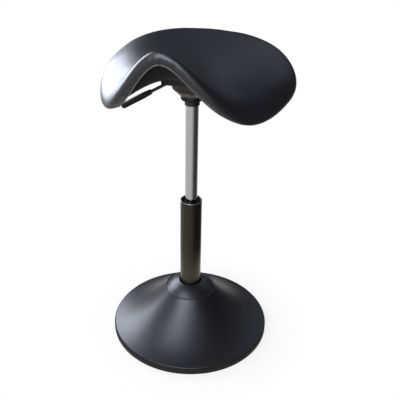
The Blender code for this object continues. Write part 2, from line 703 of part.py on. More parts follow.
def make_plate(lift):
    """Seat plate, its four bolts and the block that fits the flat plate to the arched shell."""
    x = PLATE_WIDTH / 2 - PLATE_BOLT_INSET
    y = PLATE_LENGTH / 2 - PLATE_BOLT_INSET
    centres = [(-x, -y), (x, -y), (x, y), (-x, y)]
    shank = PLATE_BOLT_RADIUS + CLEARANCE
    shape = slab(PLATE_WIDTH, PLATE_LENGTH, PLATE_BOTTOM, PLATE_TOP, PLATE_CORNER)
    plate = piece("seat_plate", shape, "black_steel", lift)
    bottom = PLATE_BOTTOM - PLATE_THICKNESS
    combine(plate, pins("plate_holes", centres, shank, bottom, PLATE_TOP + PLATE_THICKNESS))
    depth = PLATE_THICKNESS + PLATE_BOLT_DEPTH
    bolts("plate_bolt", centres, PLATE_BOLT_RADIUS, PLATE_BOTTOM, depth, False, lift)

    shape = slab(PLATE_WIDTH, PLATE_LENGTH, BLOCK_BOTTOM, SADDLE_HEIGHT + FRONT_RISE, PLATE_CORNER)
    block = piece("mount_block", shape, "plywood", lift)
    section = layer(FRONT_RISE * 2, SHELL_BOTTOM - CLEARANCE, CROWN_RINGS)
    combine(block, tool("shell_space", on_saddle(section)))
    hole_top = PLATE_TOP + PLATE_BOLT_DEPTH + CLEARANCE
    combine(block, pins("block_holes", centres, shank, PLATE_BOTTOM, hole_top))


def make_bracket(lift):
    """Folded bracket under the plate, whose two ears hold the lever's pin."""
    pivot = Vector((-LEVER_PIVOT_REACH, 0, LEVER_HEIGHT))
    inner = LEVER_BARREL_WIDTH / 2 + CLEARANCE
    outer = inner + BRACKET_SHEET
    top = PLATE_BOTTOM - CLEARANCE
    web = top - BRACKET_SHEET
    foot = LEVER_HEIGHT - LEVER_BARREL_RADIUS
    fold = [(-outer, foot), (-inner, foot), (-inner, web), (inner, web), (inner, foot), (outer, foot)]
    fold += [(outer, top), (-outer, top)]
    shape = bmesh.new()
    start = pivot.x - BRACKET_LENGTH / 2
    section = shape.faces.new([shape.verts.new((start, y, z)) for y, z in fold])
    pulled = bmesh.ops.extrude_face_region(shape, geom=[section])["geom"]
    moved = [item for item in pulled if isinstance(item, bmesh.types.BMVert)]
    bmesh.ops.translate(shape, verts=moved, vec=(BRACKET_LENGTH, 0, 0))
    bmesh.ops.recalc_face_normals(shape, faces=shape.faces)
    bracket = piece("lever_bracket", shape, "black_steel", lift)
    bore = LEVER_PIN_RADIUS + CLEARANCE
    combine(bracket, cross_pin("bracket_bore", pivot, bore, 2 * outer))
    length = 2 * outer + BRACKET_SHEET
    pin = [(0, -length / 2), (LEVER_PIN_RADIUS, -length / 2), (LEVER_PIN_RADIUS, length / 2), (0, length / 2)]
    shape = spun(pin, FASTENER_SEGMENTS)
    bmesh.ops.rotate(shape, verts=shape.verts, matrix=Matrix.Rotation(math.pi / 2, 3, "X"))
    piece("lever_pin", shape, "bright_steel", lift, pivot)


def cross_pin(name, centre, radius, length):
    """A helper: a pin along Y."""
    shape = bmesh.new()
    bmesh.ops.create_cone(
        shape,
        cap_ends=True,
        segments=FASTENER_SEGMENTS,
        radius1=radius,
        radius2=radius,
        depth=length,
        matrix=Matrix.Translation(centre) @ Matrix.Rotation(math.pi / 2, 4, "X"),
    )
    return tool(name, shape)


def lever_path():
    """Points of the lever's axis in its own upright plane, as (reach from the column, height)."""
    bend = math.tan(LEVER_SLOPE / 2) * LEVER_BEND_RADIUS
    centre = Vector((LEVER_BEND_REACH - bend, LEVER_HEIGHT - LEVER_BEND_RADIUS))
    points = [Vector((-LEVER_INNER_END, LEVER_HEIGHT))]
    for step in range(FILLET_STEPS + 1):
        angle = LEVER_SLOPE * step / FILLET_STEPS
        points.append(centre + LEVER_BEND_RADIUS * Vector((math.sin(angle), math.cos(angle))))
    return points


def grip_start():
    """Where the grip begins on the lever's slope, as (reach, height), and the slope's direction."""
    way = Vector((math.cos(LEVER_SLOPE), -math.sin(LEVER_SLOPE)))
    corner = Vector((LEVER_BEND_REACH, LEVER_HEIGHT))
    tip = corner + way * ((LEVER_TIP_REACH - corner.x) / way.x)
    return tip - way * GRIP_LENGTH, way


def make_lever(lever_axis):
    """Bent rod with a pivot barrel, and the grip pushed on its outer end."""
    start, way = grip_start()
    points = [*lever_path(), start + way * (GRIP_BORE_LENGTH - CLEARANCE)]
    shape = bmesh.new()
    loops = []
    for index, point in enumerate(points):
        ahead = points[min(index + 1, len(points) - 1)] - points[max(index - 1, 0)]
        lean = math.atan2(ahead.y, ahead.x)
        ring = bmesh.ops.create_circle(
            shape,
            segments=FASTENER_SEGMENTS,
            radius=LEVER_RADIUS,
            cap_ends=index in (0, len(points) - 1),
            matrix=Matrix.Translation((-point.x, 0, point.y))
            @ Matrix.Rotation(math.pi / 2 + lean, 4, "Y"),
        )
        corners = set(ring["verts"])
        loops.append([edge for edge in shape.edges if corners.issuperset(edge.verts)])
    for near, far in zip(loops, loops[1:]):
        bmesh.ops.bridge_loops(shape, edges=near + far)
    bmesh.ops.recalc_face_normals(shape, faces=shape.faces)
    rod = piece("lever_rod", shape, "black_steel", lever_axis)
    pivot = Vector((-LEVER_PIVOT_REACH, 0, LEVER_HEIGHT))
    barrel = cross_pin("pivot_barrel", pivot, LEVER_BARREL_RADIUS, LEVER_BARREL_WIDTH)
    combine(rod, barrel, "UNION")
    bore = cross_pin("pivot_bore", pivot, LEVER_PIN_RADIUS + CLEARANCE, 2 * LEVER_BARREL_WIDTH)
    combine(rod, bore)

    bore = LEVER_RADIUS + CLEARANCE
    outline = [
        (bore, 0),
        (GRIP_NECK_RADIUS, 0, (GRIP_NECK_RADIUS - bore) / 2),
        (GRIP_RADIUS, GRIP_LENGTH / 4),
        (GRIP_RADIUS, GRIP_LENGTH, GRIP_RADIUS * 0.6),
        (0, GRIP_LENGTH),
        (0, GRIP_BORE_LENGTH),
        (bore, GRIP_BORE_LENGTH),
    ]
    shape = spun(rounded(outline), SMALL_SEGMENTS)
    lean = Matrix.Rotation(-math.pi / 2 - LEVER_SLOPE, 4, "Y")
    bmesh.ops.transform(shape, verts=shape.verts, matrix=Matrix.Translation((-start.x, 0, start.y)) @ lean)
    piece("lever_grip", shape, "black_plastic", lever_axis)


def make_valve(valve_axis):
    """Release button in the cylinder's top, with a head inside that keeps it there."""
    head_top = CYLINDER_TOP - CYLINDER_CAP - CLEARANCE
    bottom = VALVE_TOP - VALVE_LENGTH
    outline = [
        (0, bottom),
        (VALVE_HEAD_RADIUS, head_top - VALVE_HEAD),
        (VALVE_HEAD_RADIUS, head_top),
        (VALVE_RADIUS, head_top),
        (VALVE_RADIUS, VALVE_TOP, VALVE_RADIUS / 2),
        (0, VALVE_TOP),
    ]
    turned("valve_button", outline, FASTENER_SEGMENTS, "bright_steel", valve_axis)


# Seat


def through(forward, rear, middle, front):
    """Parabola with the given values at the seat's rear end, over the column and at the front end."""
    span = SEAT_FRONT + SEAT_REAR
    return (
        middle * (1 - forward / SEAT_FRONT) * (1 + forward / SEAT_REAR)
        + front * forward * (forward + SEAT_REAR) / (SEAT_FRONT * span)
        + rear * forward * (forward - SEAT_FRONT) / (SEAT_REAR * span)
    )


def saddle_height(forward, side):
    """Height of the saddle sheet: a ridge that rises to the front, with wings that fall from it."""
    if forward > 0:
        ridge = FRONT_RISE * (forward / SEAT_FRONT) ** FRONT_RISE_POWER
    else:
        ridge = REAR_RISE * (forward / SEAT_REAR) ** 2
    slope = through(forward, WING_SLOPE_REAR, WING_SLOPE_MIDDLE, WING_SLOPE_FRONT)
    softness = through(forward, ARCH_SOFTNESS_REAR, ARCH_SOFTNESS_MIDDLE, ARCH_SOFTNESS_FRONT)
    fall = math.hypot(slope * side, softness) - softness
    return SADDLE_HEIGHT + ridge - fall - WING_DROOP * (side / SEAT_HALF_WIDTH) ** 4


def saddle_point(share, angle, offset):
    """Point at a share of the outline's reach, lifted off the sheet along its normal."""
    cosine = math.cos(angle)
    forward = share * cosine * (SEAT_FRONT if cosine > 0 else SEAT_REAR)
    shape = 1 - FRONT_TAPER * cosine + WAIST * math.cos(2 * angle) + SHOULDER * math.cos(3 * angle)
    side = share * math.sin(angle) * SEAT_HALF_WIDTH * shape
    step = CLEARANCE
    climb = saddle_height(forward + step, side) - saddle_height(forward - step, side)
    lean = saddle_height(forward, side + step) - saddle_height(forward, side - step)
    normal = Vector((-lean, climb, 2 * step)).normalized()
    return Vector((side, -forward, saddle_height(forward, side))) + normal * offset


def split_quads(shape):
    """Splits each quad from its inner corner behind to its outer corner ahead.

    The layers of the seat lie on each other, so their twisted quads have to fold alike.
    """

    def outward(vertex):
        return round(vertex.co.xy.length, 5), vertex.co.z

    for face in list(shape.faces):
        if len(face.verts) != 4:
            continue
        middle = face.calc_center_median()
        ahead = [corner for corner in face.verts if middle.x * corner.co.y > middle.y * corner.co.x]
        behind = [corner for corner in face.verts if corner not in ahead]
        bmesh.utils.face_split(face, min(behind, key=outward), max(ahead, key=outward))


def on_saddle(section):
    """Spins a section of (share, offset) points into a disc and bends that over the saddle."""
    shape = spun(section, SEAT_SEGMENTS)
    split_quads(shape)
    for vertex in shape.verts:
        share = vertex.co.xy.length
        angle = math.atan2(vertex.co.y, vertex.co.x)
        angle -= FRONT_CROWDING * math.sin(angle)
        vertex.co = saddle_point(share, angle, vertex.co.z)
    return shape


def layer(top, bottom, shares):
    """Section of a layer of the seat between two offsets, out to the last share."""
    rings = (0, *shares)
    return [(share, bottom) for share in rings] + [(share, top) for share in reversed(rings)]


def padded_edge(inset, wall_inset, end):
    """Section of the padded edge from the crown round to the hem, that far inside the cover."""
    reach = 1 - inset / SEAT_HALF_WIDTH
    above = PAD_ABOVE - inset
    below = PAD_BELOW - inset
    wall = HEM_SHARE + wall_inset / SEAT_HALF_WIDTH
    chamfer = HEM_CHAMFER / SEAT_HALF_WIDTH

    def square(share):
        return math.sqrt(1 - (share / reach) ** EDGE_POWER)

    def roll(angle, height):
        return reach * math.sin(angle) ** (2 / EDGE_POWER), height * math.cos(angle)

    points = [(0, above)]
    points += [(share, above * square(share)) for share in CROWN_RINGS]
    points += [roll(math.radians(degrees), above) for degrees in ROLL_ANGLES]
    keel = math.acos(square(wall + chamfer))
    for step in range(1, KEEL_STEPS):
        points.append(roll(math.pi / 2 + (keel - math.pi / 2) * step / KEEL_STEPS, -below))
    points.append((wall + chamfer, -below * square(wall + chamfer)))
    points.append((wall, HEM_CHAMFER - below * square(wall)))
    points.append((wall, end))
    return points


def make_seat(lift):
    hem_end = SHELL_BOTTOM - CLEARANCE
    outside = padded_edge(0, 0, hem_end)
    inside = padded_edge(COVER_SKIN, COVER_SKIN, hem_end)
    piece("seat_cover", on_saddle([*outside, *reversed(inside)]), "black_leather", lift)

    foam = padded_edge(COVER_SKIN + CLEARANCE, COVER_SKIN + POCKET_GAP, -POCKET_DEPTH)
    pocket = [(share, -POCKET_DEPTH) for share in reversed((0, *FLOOR_RINGS))]
    piece("foam_pad", on_saddle([*foam, *pocket]), "foam", lift)

    edge = HEM_SHARE + COVER_SKIN / SEAT_HALF_WIDTH
    shell = layer(SHELL_TOP, SHELL_BOTTOM, (*FLOOR_RINGS, edge))
    piece("seat_shell", on_saddle(shell), "plywood", lift)

    edge = HEM_SHARE - CLEARANCE / SEAT_FRONT
    rings = (*FLOOR_RINGS[1:], edge)
    lining = [(share, LINING_BOTTOM) for share in rings]
    lining += [(share, LINING_TOP) for share in reversed(rings)]
    piece("seat_lining", on_saddle(lining), "dark_lining", lift)


def main():
    clear_scene()
    base = axis_empty("base_frame", (0, 0, 0))
    cage_axis = axis_empty("cage_axis", (0, 0, BALL_CENTRE), base)
    swivel = axis_empty("swivel_axis", (0, 0, ROD_SHOULDER), base)
    lift = axis_empty("lift_axis", (0, 0, SEAT_SOCKET_BOTTOM), swivel)
    lever_axis = axis_empty("lever_axis", (-LEVER_PIVOT_REACH, 0, LEVER_HEIGHT), lift)
    valve_axis = axis_empty("valve_axis", (0, 0, VALVE_TOP), lift)

    screw_centres = circle_of(SOLE_SCREWS, SOLE_SCREW_CIRCLE, math.pi / 4)
    bolt_centres = circle_of(FLANGE_BOLTS, FLANGE_BOLT_CIRCLE, math.pi / 2)
    make_sole(base, screw_centres)
    make_ring(base)
    make_counterweight(base, screw_centres, bolt_centres)
    make_column_socket(base, bolt_centres)
    make_cover(base)
    make_collar(base)
    make_tube(base)
    make_bearing(base, cage_axis, swivel)
    make_rod(swivel)
    make_cylinder(lift)
    make_socket(lift)
    make_cup(lift)
    make_plate(lift)
    make_bracket(lift)
    make_lever(lever_axis)
    make_valve(valve_axis)
    make_seat(lift)


main()
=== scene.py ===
"""Dresses the saddle stool: the padded seat, the gas lift and the weighted bell base.

Metres, +Z up. The seat's raised front faces -Y, and the lever reaches out to -X.
"""

import json
import math

import bmesh
import bpy
import numpy
from bpy.props import FloatProperty, FloatVectorProperty, PointerProperty
from mathutils import Matrix, Vector
from mathutils.bvhtree import BVHTree
from mathutils.geometry import interpolate_bezier
from mathutils.interpolate import poly_3d_calc


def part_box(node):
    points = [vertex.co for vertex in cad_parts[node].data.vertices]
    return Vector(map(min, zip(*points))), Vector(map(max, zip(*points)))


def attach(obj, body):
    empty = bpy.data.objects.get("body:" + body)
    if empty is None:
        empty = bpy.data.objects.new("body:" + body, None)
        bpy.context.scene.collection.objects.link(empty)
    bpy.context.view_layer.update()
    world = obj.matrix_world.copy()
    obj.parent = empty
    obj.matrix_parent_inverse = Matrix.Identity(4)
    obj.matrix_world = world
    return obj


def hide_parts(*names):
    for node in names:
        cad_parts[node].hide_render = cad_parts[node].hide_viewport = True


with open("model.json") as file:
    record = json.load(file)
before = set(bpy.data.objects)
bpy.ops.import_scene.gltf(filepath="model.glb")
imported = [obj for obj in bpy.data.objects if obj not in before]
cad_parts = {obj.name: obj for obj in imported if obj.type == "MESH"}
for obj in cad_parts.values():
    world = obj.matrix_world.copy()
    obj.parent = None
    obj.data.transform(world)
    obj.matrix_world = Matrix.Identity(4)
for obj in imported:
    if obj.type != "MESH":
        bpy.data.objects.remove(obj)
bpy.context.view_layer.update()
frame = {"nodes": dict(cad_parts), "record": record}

bl_info = {
    "name": "Saddle stool",
    "version": (1, 0, 0),
    "blender": (4, 5, 0),
    "location": "3D View > Sidebar > Stool",
    "description": "Upholsters, finishes and lights a saddle stool",
    "category": "Object",
}

# Facets
SEAT_SEGMENTS = 176
BASE_SEGMENTS = 160
COLUMN_SEGMENTS = 96
LEVER_SEGMENTS = 32
FILLET_STEPS = 6
FLARE_STEPS = 40
FLOOR_SEGMENTS = 128
CROWN_STEPS = 20  # rings from the seat's middle to its edge, if they ran all the way
CROWN_RINGS = range(1, 15)
ROLL_DEGREES = range(18, 91, 4)  # rings round the upper half of the padded edge
KEEL_STEPS = 14  # rings round the lower half
POCKET_RINGS = range(18, -1, -2)
LINING_STEPS = 12
BEAD_STEPS = 12
SMOOTH_ANGLE = math.radians(32)

# Small sizes, in metres
GAP = 0.0003  # left between two pieces that touch
TINY = 1e-6
MARGIN = 1e-4  # for points that lie on the hem's edge, as a share of the outline
BROKEN_EDGE = 0.0004  # fillet of a plain corner
BUSH_FILLET = 0.0006
FOOT_STEP = 0.001  # how much narrower the hole in the tube's foot is than the one in the cylinder
CAP_FILLETS = (0.0005, 0.0010, 0.0002)  # foot, lip and groove of the cap
LEVER_START = -0.002  # the lever's inner end, from the column's axis
GRIP_FILLET = 0.02

# Shares and directions
CROWDING = 0.4  # draws the seat's segments together at the front
HEM_DROP = 0.3  # the hem's lowest point, as a share of its chamfer
WEAR_AND_REFLECTION_FROM = 0.9  # where the lighter edge starts, as a share of the outline; partly wear, partly painted reflection
FOLDS = ((47, 0.0), (73, 1.3))  # number of puckers round the hem, and where they start
PLEAT_ANGLE = 1e-3  # the pleat is one segment wide
FRONT_START, FRONT_FULL = 0.35, 0.70  # cosines between which the front edge gets rounder
DOME_FOOT = Vector((-0.70, 0.71))  # way of the cap's dome from its foot up
DOME_BRIM = Vector((0.93, -0.37))  # and from its brim down
LIP_FILLET = 0.85  # of the bell's lip
MOUTH_FILLET = 1 / 2.2  # of the tube's wall
TIP_FILLET = 0.6  # of the grip's radius
BUTTON_HOLE = 0.7  # of the valve button's radius

# Swelling of the pad
FACET = 0.005  # of the even copy that is blown up
HELD_REACH = 0.004  # points this near to a held face stay
PRESSURE = 4.0
LAST_FRAME = 20
BLUR_ROUNDS = 24

# Fixed colours
BARE_STEEL = (0.29, 0.29, 0.29)
RUST = (0.075, 0.045, 0.030)
# Lighter edge colour of the piping: partly wear, partly painted reflection
PIPING_WEAR_AND_REFLECTION = (0.09, 0.07, 0.06)
WARM_GLOSS = (1.0, 0.84, 0.64, 1.0)
WHITE = (1.0, 1.0, 1.0, 1.0)

# Floor: how white it is under the stool, and between which distances it turns white and leaves reflections
FLOOR_GLOW = 0.80
FLOOR_FADE = (0.18, 0.32)
MIRROR_FADE = (0.20, 0.38)
# What reflections see of the room: direction, cosines where a glow starts and is full, and its strength
DIM = 0.04
GLOWS = (
    ((-0.57, -0.82, 0.0), -0.2, 0.8, 0.45),
    ((0.20, 0.72, 0.66), 0.76, 1.0, 0.35),
    ((-0.80, 0.40, -0.45), 0.75, 1.0, 0.20),
)
BACKDROP = ((-0.24, 0.83, -0.50), 0.50, 0.95, 0.30)
BACKDROP_TOP = (-0.3, -0.1)
EVEN = 0.45  # what the room gives to all else
HORIZON = 0.15
# Lamps: place, target, width, height and power
LAMPS = {
    "side window": ((-1.28, 0.56, 0.92), (-0.13, -0.09, 0.80), 1.10, 0.92, 24),
    "front window": ((0.0, -1.38, 0.82), (0.0, 0.0, 0.78), 1.40, 0.75, 20),
    "top window": ((-0.5724, -1.2276, 1.7836), (0.0, 0.0, 0.05), 1.20, 1.00, 11),
}


# Settings


def length(name, description, default):
    """A size in metres."""
    return FloatProperty(
        name=name, description=description, default=default, unit="LENGTH", subtype="DISTANCE", precision=4
    )


def share(name, description, default):
    """A plain ratio."""
    return FloatProperty(name=name, description=description, default=default, precision=3)


def turn(name, description, degrees):
    """An angle."""
    return FloatProperty(
        name=name, description=description, default=math.radians(degrees), unit="ROTATION", subtype="ANGLE"
    )


def colour(name, description, default):
    """A linear colour."""
    return FloatVectorProperty(
        name=name, description=description, default=default, size=3, subtype="COLOR", min=0, max=1
    )


def recorded(slot):
    """The colour that the record gives a finish."""
    return next(row["base_color"] for row in frame["record"]["materials"] if row["slot"] == slot)


def radius_of(node):
    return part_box(node)[1][0]


def bottom_of(node):
    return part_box(node)[0][2]


def top_of(node):
    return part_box(node)[1][2]


def heights_of(node):
    return bottom_of(node), top_of(node)


class SeatSizes(bpy.types.PropertyGroup):
    """The saddle sheet and the padding on both sides of it."""

    height: length("Height", "Saddle sheet over the column", 0.6848)
    front: length("Front reach", "Column to the front edge", 0.2098)
    rear: length("Rear reach", "Column to the rear edge", 0.1827)
    half_width: length("Half width", "Middle plane to the wing's edge", 0.2083)
    taper: share("Taper", "Narrows the front and widens the rear", 0.1987)
    waist: share("Waist", "Draws the sides in at the middle", 0.0324)
    shoulder: share("Shoulder", "Fills the quarters in front of the middle", 0.0186)
    front_rise: length("Front rise", "Rise of the ridge at the front", 0.0837)
    front_power: share("Front curve", "How late the ridge rises", 2.976)
    rear_rise: length("Rear rise", "Rise of the ridge at the rear", 0.0108)
    slope_front: share("Front slope", "Fall of the wings at the front", 1.766)
    slope_middle: share("Middle slope", "Fall of the wings over the column", 0.497)
    slope_rear: share("Rear slope", "Fall of the wings at the rear", 0.172)
    soft_front: length("Front softness", "How round the arch is at the front", 0.1258)
    soft_middle: length("Middle softness", "How round the arch is over the column", 0.1418)
    soft_rear: length("Rear softness", "How round the arch is at the rear", 0.1558)
    droop: length("Wing droop", "Extra fall at the wing's edge", 0.0388)
    above: length("Padding above", "Padding over the sheet", 0.0262)
    below: length("Padding below", "Padding under the sheet's edge", 0.0212)
    edge_power: share("Edge squareness", "How square the padded edge is", 10.8)
    front_power_top: share("Front squareness", "How square the front edge is on top", 5.0)
    hem: share("Hem", "Where the cover turns up, as a share of the outline", 0.940)
    chamfer: length("Hem chamfer", "Soft corner of the hem", 0.0026)
    pocket: length("Pocket depth", "Pocket floor below the sheet", 0.002)
    pocket_room: length("Pocket room", "Cover and gap beyond the hem wall", 0.0024)
    shell_bottom: length("Shell underside", "Shell's lower face below the sheet", 0.0083)
    lining_hole: share("Lining hole", "Inner edge of the lining, as a share of the outline", 0.50)
    lining_thickness: length("Lining thickness", "Thickness of the lining cloth", 0.001)
    lining_sag: length("Lining sag", "How far the lining hangs off the shell", 0.0035)
    piping: length("Piping", "Radius of the bead along the hem", 0.0012)
    slack: length("Slack", "How far the pad starts inside its full form", 0.0004)
    swell: length("Swell", "How far the cover may swell", 0.0024)
    pucker: length("Pucker", "Depth of the folds in the cover under its edge", 0.0006)
    pleat: length("Pleat", "Depth of the fold at the front of the arch", 0.0016)


class BaseSizes(bpy.types.PropertyGroup):
    """The bell, its cap and the foot ring."""

    bell_radius: length("Bell radius", "Outer edge of the bell", radius_of("base_cover"))
    bell_wall: length("Bell wall", "Wall of the bell", 0.0025)
    bell_lip: length("Bell lip", "Upright edge of the bell", 0.0015)
    lip_slope: turn("Lip slope", "Slope of the bell at its edge", 17)
    neck_slope: turn("Neck slope", "Slope of the bell under the cap", 50)
    cap_radius: length("Cap radius", "Lower edge of the cap", radius_of("collar_cap"))
    cap_wall: length("Cap wall", "Wall of the cap", 0.003)
    cap_lip: length("Cap lip", "Height of the cap's edge", 0.0036)
    cap_groove: length("Cap groove", "Width of the groove inside the cap's edge", 0.0026)
    cap_overlap: length("Cap overlap", "How far the bell runs on under the cap", 0.0015)
    column_gap: length("Column gap", "Dark ring between cap and column", 0.002)
    ring_radius: length("Ring radius", "Outside of the foot ring", radius_of("base_ring"))
    ring_band: length("Ring band", "Wall of the foot ring", 0.0085)
    ring_fillet: length("Ring fillet", "Rounding of the foot ring", 0.003)


class LiftSizes(bpy.types.PropertyGroup):
    """The column, the socket under the seat and the lever."""

    tube_radius: length("Tube radius", "Outside of the column tube", radius_of("outer_tube"))
    tube_wall: length("Tube wall", "Wall of the column tube", 0.002)
    tube_taper: length("Tube taper", "Radius lost towards the foot", 0.001)
    tube_foot: length("Tube foot", "Thickness of the closed foot", 0.003)
    cylinder_radius: length("Cylinder radius", "Outside of the bright cylinder", radius_of("gas_cylinder"))
    cylinder_wall: length("Cylinder wall", "Wall of the bright cylinder", 0.002)
    cylinder_taper: length("Cylinder taper", "Radius lost in the seat socket", 0.0008)
    rod_hole: length("Rod hole", "Hole round the piston rod", 0.0056)
    socket_wall: length("Socket wall", "Wall of the seat socket", 0.0022)
    cup_floor: length("Cup floor", "Radius of the cup's flat floor", 0.028)
    cup_wall: length("Cup wall", "Sheet of the cup", 0.002)
    cup_bowl: length("Cup bowl", "Height of the cup's cone", 0.0155)
    lever_radius: length("Lever radius", "Thickness of the lever rod", 0.0035)
    lever_bend: length("Lever bend", "Column to the lever's bend", 0.034)
    lever_bend_radius: length("Bend radius", "Radius of the lever's bend", 0.014)
    lever_slope: turn("Lever slope", "Fall of the lever's arm", 31.5)
    lever_reach: length("Lever reach", "Column to the grip's end", 0.161)
    lever_height: length("Lever height", "Height of the lever's pivot", 0.6497)
    lever_pivot: length("Lever pivot", "Column to the lever's pivot", 0.030)
    barrel_radius: length("Barrel radius", "Pivot barrel of the lever", 0.005)
    barrel_width: length("Barrel width", "Pivot barrel of the lever", 0.011)
    pin_radius: length("Pin radius", "Pivot pin of the lever", 0.0023)
    grip_length: length("Grip length", "Length of the grip", 0.080)
    grip_radius: length("Grip radius", "Thickness of the grip", 0.0068)
    grip_neck: length("Grip neck", "Thin end of the grip", 0.0056)
    grip_bore: length("Grip bore", "Depth of the hole in the grip", 0.062)


class StoolColours(bpy.types.PropertyGroup):
    """The colours of the finishes."""

    black_leather: colour("Leather", "Cover of the seat", (0.0062, 0.0066, 0.0096))
    # Lighter colour of the pad's edges and underside: partly wear, partly painted reflection
    worn_leather: colour("Worn leather", "Edges that are handled", (0.0088, 0.0082, 0.0100))
    # Light brown bead: partly its own colour, partly a painted highlight for the light line that lamps put on
    # the hem
    piping: colour("Piping", "Bead along the hem", (0.080, 0.068, 0.062))
    dark_lining: colour("Lining", "Cloth under the seat", (0.0034, 0.0028, 0.0025))
    foam: colour("Foam", "Foam inside the seat", recorded("foam"))
    plywood: colour("Plywood", "Wood under the seat", (0.0056, 0.0044, 0.0036))
    chrome: colour("Chrome", "Bright cylinder", recorded("chrome"))
    bright_steel: colour("Bright steel", "Bolts and plain steel", recorded("bright_steel"))
    black_steel: colour("Black steel", "Painted steel", (0.0068, 0.0050, 0.0029))
    black_plastic: colour("Black plastic", "Moulded parts", (0.0036, 0.0033, 0.0031))
    satin_black: colour("Satin black", "Bell and cap", (0.0052, 0.0055, 0.0074))
    rubber: colour("Rubber", "Foot ring and sole", (0.0115, 0.0090, 0.0058))
    cast_iron: colour("Cast iron", "Counterweight", recorded("cast_iron"))


class StageSettings(bpy.types.PropertyGroup):
    """Camera, floor and lamps."""

    azimuth: turn("Azimuth", "Camera to the right of the seat's front", 16.01)
    distance: length("Distance", "Camera to the column, level", 1.307)
    height: length("Camera height", "Camera over the floor", 1.106)
    pitch: turn("Pitch", "How far the camera looks down", 29.71)
    roll: turn("Roll", "Camera turned about its own line of sight", 0.62)
    lens: FloatProperty(name="Lens", description="Focal length", default=58.5, subtype="DISTANCE_CAMERA")
    shift: share("Shift", "Sideways shift of the picture", 0.022)
    floor_radius: length("Floor radius", "Round floor", 0.34)
    floor: colour("Floor", "Colour of the floor", (0.80, 0.80, 0.80))
    room: colour("Room", "Light of the room", (0.74, 0.83, 1.0))
    daylight: colour("Daylight", "Light of the lamps", (0.80, 0.87, 1.0))


class StoolSettings(bpy.types.PropertyGroup):
    """All settings of the stool."""

    seat: PointerProperty(type=SeatSizes)
    base: PointerProperty(type=BaseSizes)
    lift: PointerProperty(type=LiftSizes)
    colours: PointerProperty(type=StoolColours)
    stage: PointerProperty(type=StageSettings)


# Finishes


def feed(node, sockets):
    """Links wires to a node's sockets and sets its constants."""
    for key, value in sockets.items():
        if isinstance(value, Wire):
            value.tree.links.new(value.socket, node.inputs[key])
        else:
            node.inputs[key].default_value = value


class Wire:
    """A shader socket, on which Python's arithmetic adds Math nodes."""

    def __init__(self, tree, socket=None):
        self.tree = tree
        self.socket = socket

    def node(self, kind, settings, inputs, output=0):
        """Adds a node, makes its settings, feeds its sockets and returns one of its outputs."""
        added = self.tree.nodes.new(kind)
        for key, value in settings.items():
            setattr(added, key, value)
        feed(added, inputs)
        return Wire(self.tree, added.outputs[output])

    def maths(self, operation, first, second=0.0):
        return self.node("ShaderNodeMath", {"operation": operation}, {0: first, 1: second})

    def __add__(self, other):
        return self.maths("ADD", self, other)

    def __rsub__(self, other):
        return self.maths("SUBTRACT", other, self)

    def __mul__(self, other):
        return self.maths("MULTIPLY", self, other)

    __radd__ = __add__
    __rmul__ = __mul__

    def at_least(self, other):
        return self.maths("MAXIMUM", self, other)

    def ease(self, low, high):
        """Runs smoothly from 0 at low to 1 at high."""
        return self.node(
            "ShaderNodeMapRange",
            {"interpolation_type": "SMOOTHSTEP"},
            {"Value": self, "From Min": low, "From Max": high},
        )

    def place(self):
        """Where a point lies on the piece, in metres."""
        return self.node("ShaderNodeTexCoord", {}, {}, "Object")

    def stretched(self, scale):
        return self.node("ShaderNodeVectorMath", {"operation": "MULTIPLY"}, {0: self, 1: scale})

    def noise(self, scale, detail=2.0, roughness=0.5):
        """Noise on this vector, from 0 to 1."""
        sockets = {"Vector": self, "Scale": scale, "Detail": detail, "Roughness": roughness}
        return self.node("ShaderNodeTexNoise", {}, sockets)

    def cells(self, scale, smoothness=0.3):
        """Distance to the nearest of many scattered points."""
        sockets = {"Vector": self, "Scale": scale, "Smoothness": smoothness}
        return self.node("ShaderNodeTexVoronoi", {"feature": "SMOOTH_F1"}, sockets)

    def attribute(self, name):
        return self.node("ShaderNodeAttribute", {"attribute_name": name}, {}, "Fac")

    def mixed(self, first, second):
        """Goes from the first colour to the second."""
        ends = [value if isinstance(value, Wire) else (*value, 1) for value in (first, second)]
        return self.node("ShaderNodeMix", {"data_type": "RGBA"}, {0: self, 6: ends[0], 7: ends[1]}, 2)

    def bump(self, strength, distance):
        """Normal of a surface with these heights."""
        return self.node("ShaderNodeBump", {}, {"Strength": strength, "Distance": distance, "Height": self})

    def shaders(self, first, second):
        """Goes from the first shader to the second."""
        return self.node("ShaderNodeMixShader", {}, {0: self, 1: first, 2: second})


def scaled(shade, factor):
    return tuple(min(1.0, part * factor) for part in shade)


def blank(name):
    """A new material, a wire to start from and its shader."""
    material = bpy.data.materials.new(name)
    material.use_nodes = True
    tree = material.node_tree
    return material, Wire(tree), tree.nodes["Principled BSDF"]


def finished(name, recipe, *shades):
    """A material by a recipe, which gives the shader's sockets for a place on the piece and some colours."""
    material, start, shader = blank(name)
    feed(shader, recipe(start.place(), *shades))
    return material


def leather(place, main, wear_and_reflection):
    """Satin leather: pebbled grain, faint clouding, and lighter edges and underside, which are partly wear
    and partly painted reflection.
    """
    pebbles = place.cells(820.0)
    pores = place.noise(2600.0)
    clouds = place.noise(11.0, 3.0)
    # Lighter edges and underside: partly wear, partly painted reflection
    wear_and_reflection_mask = place.attribute("edge") * (0.55 + 0.6 * clouds)
    return {
        "Base Color": wear_and_reflection_mask.mixed(clouds.mixed(main, scaled(main, 1.35)), wear_and_reflection),
        "Roughness": 0.33 + 0.06 * clouds + 0.07 * pores + 0.04 * wear_and_reflection_mask,
        "Normal": (0.7 * pebbles + 0.3 * pores).bump(0.10, 0.0004),
        "Specular IOR Level": 0.65,
        "Coat Roughness": 0.28,
        "Coat Weight": 0.25,
    }


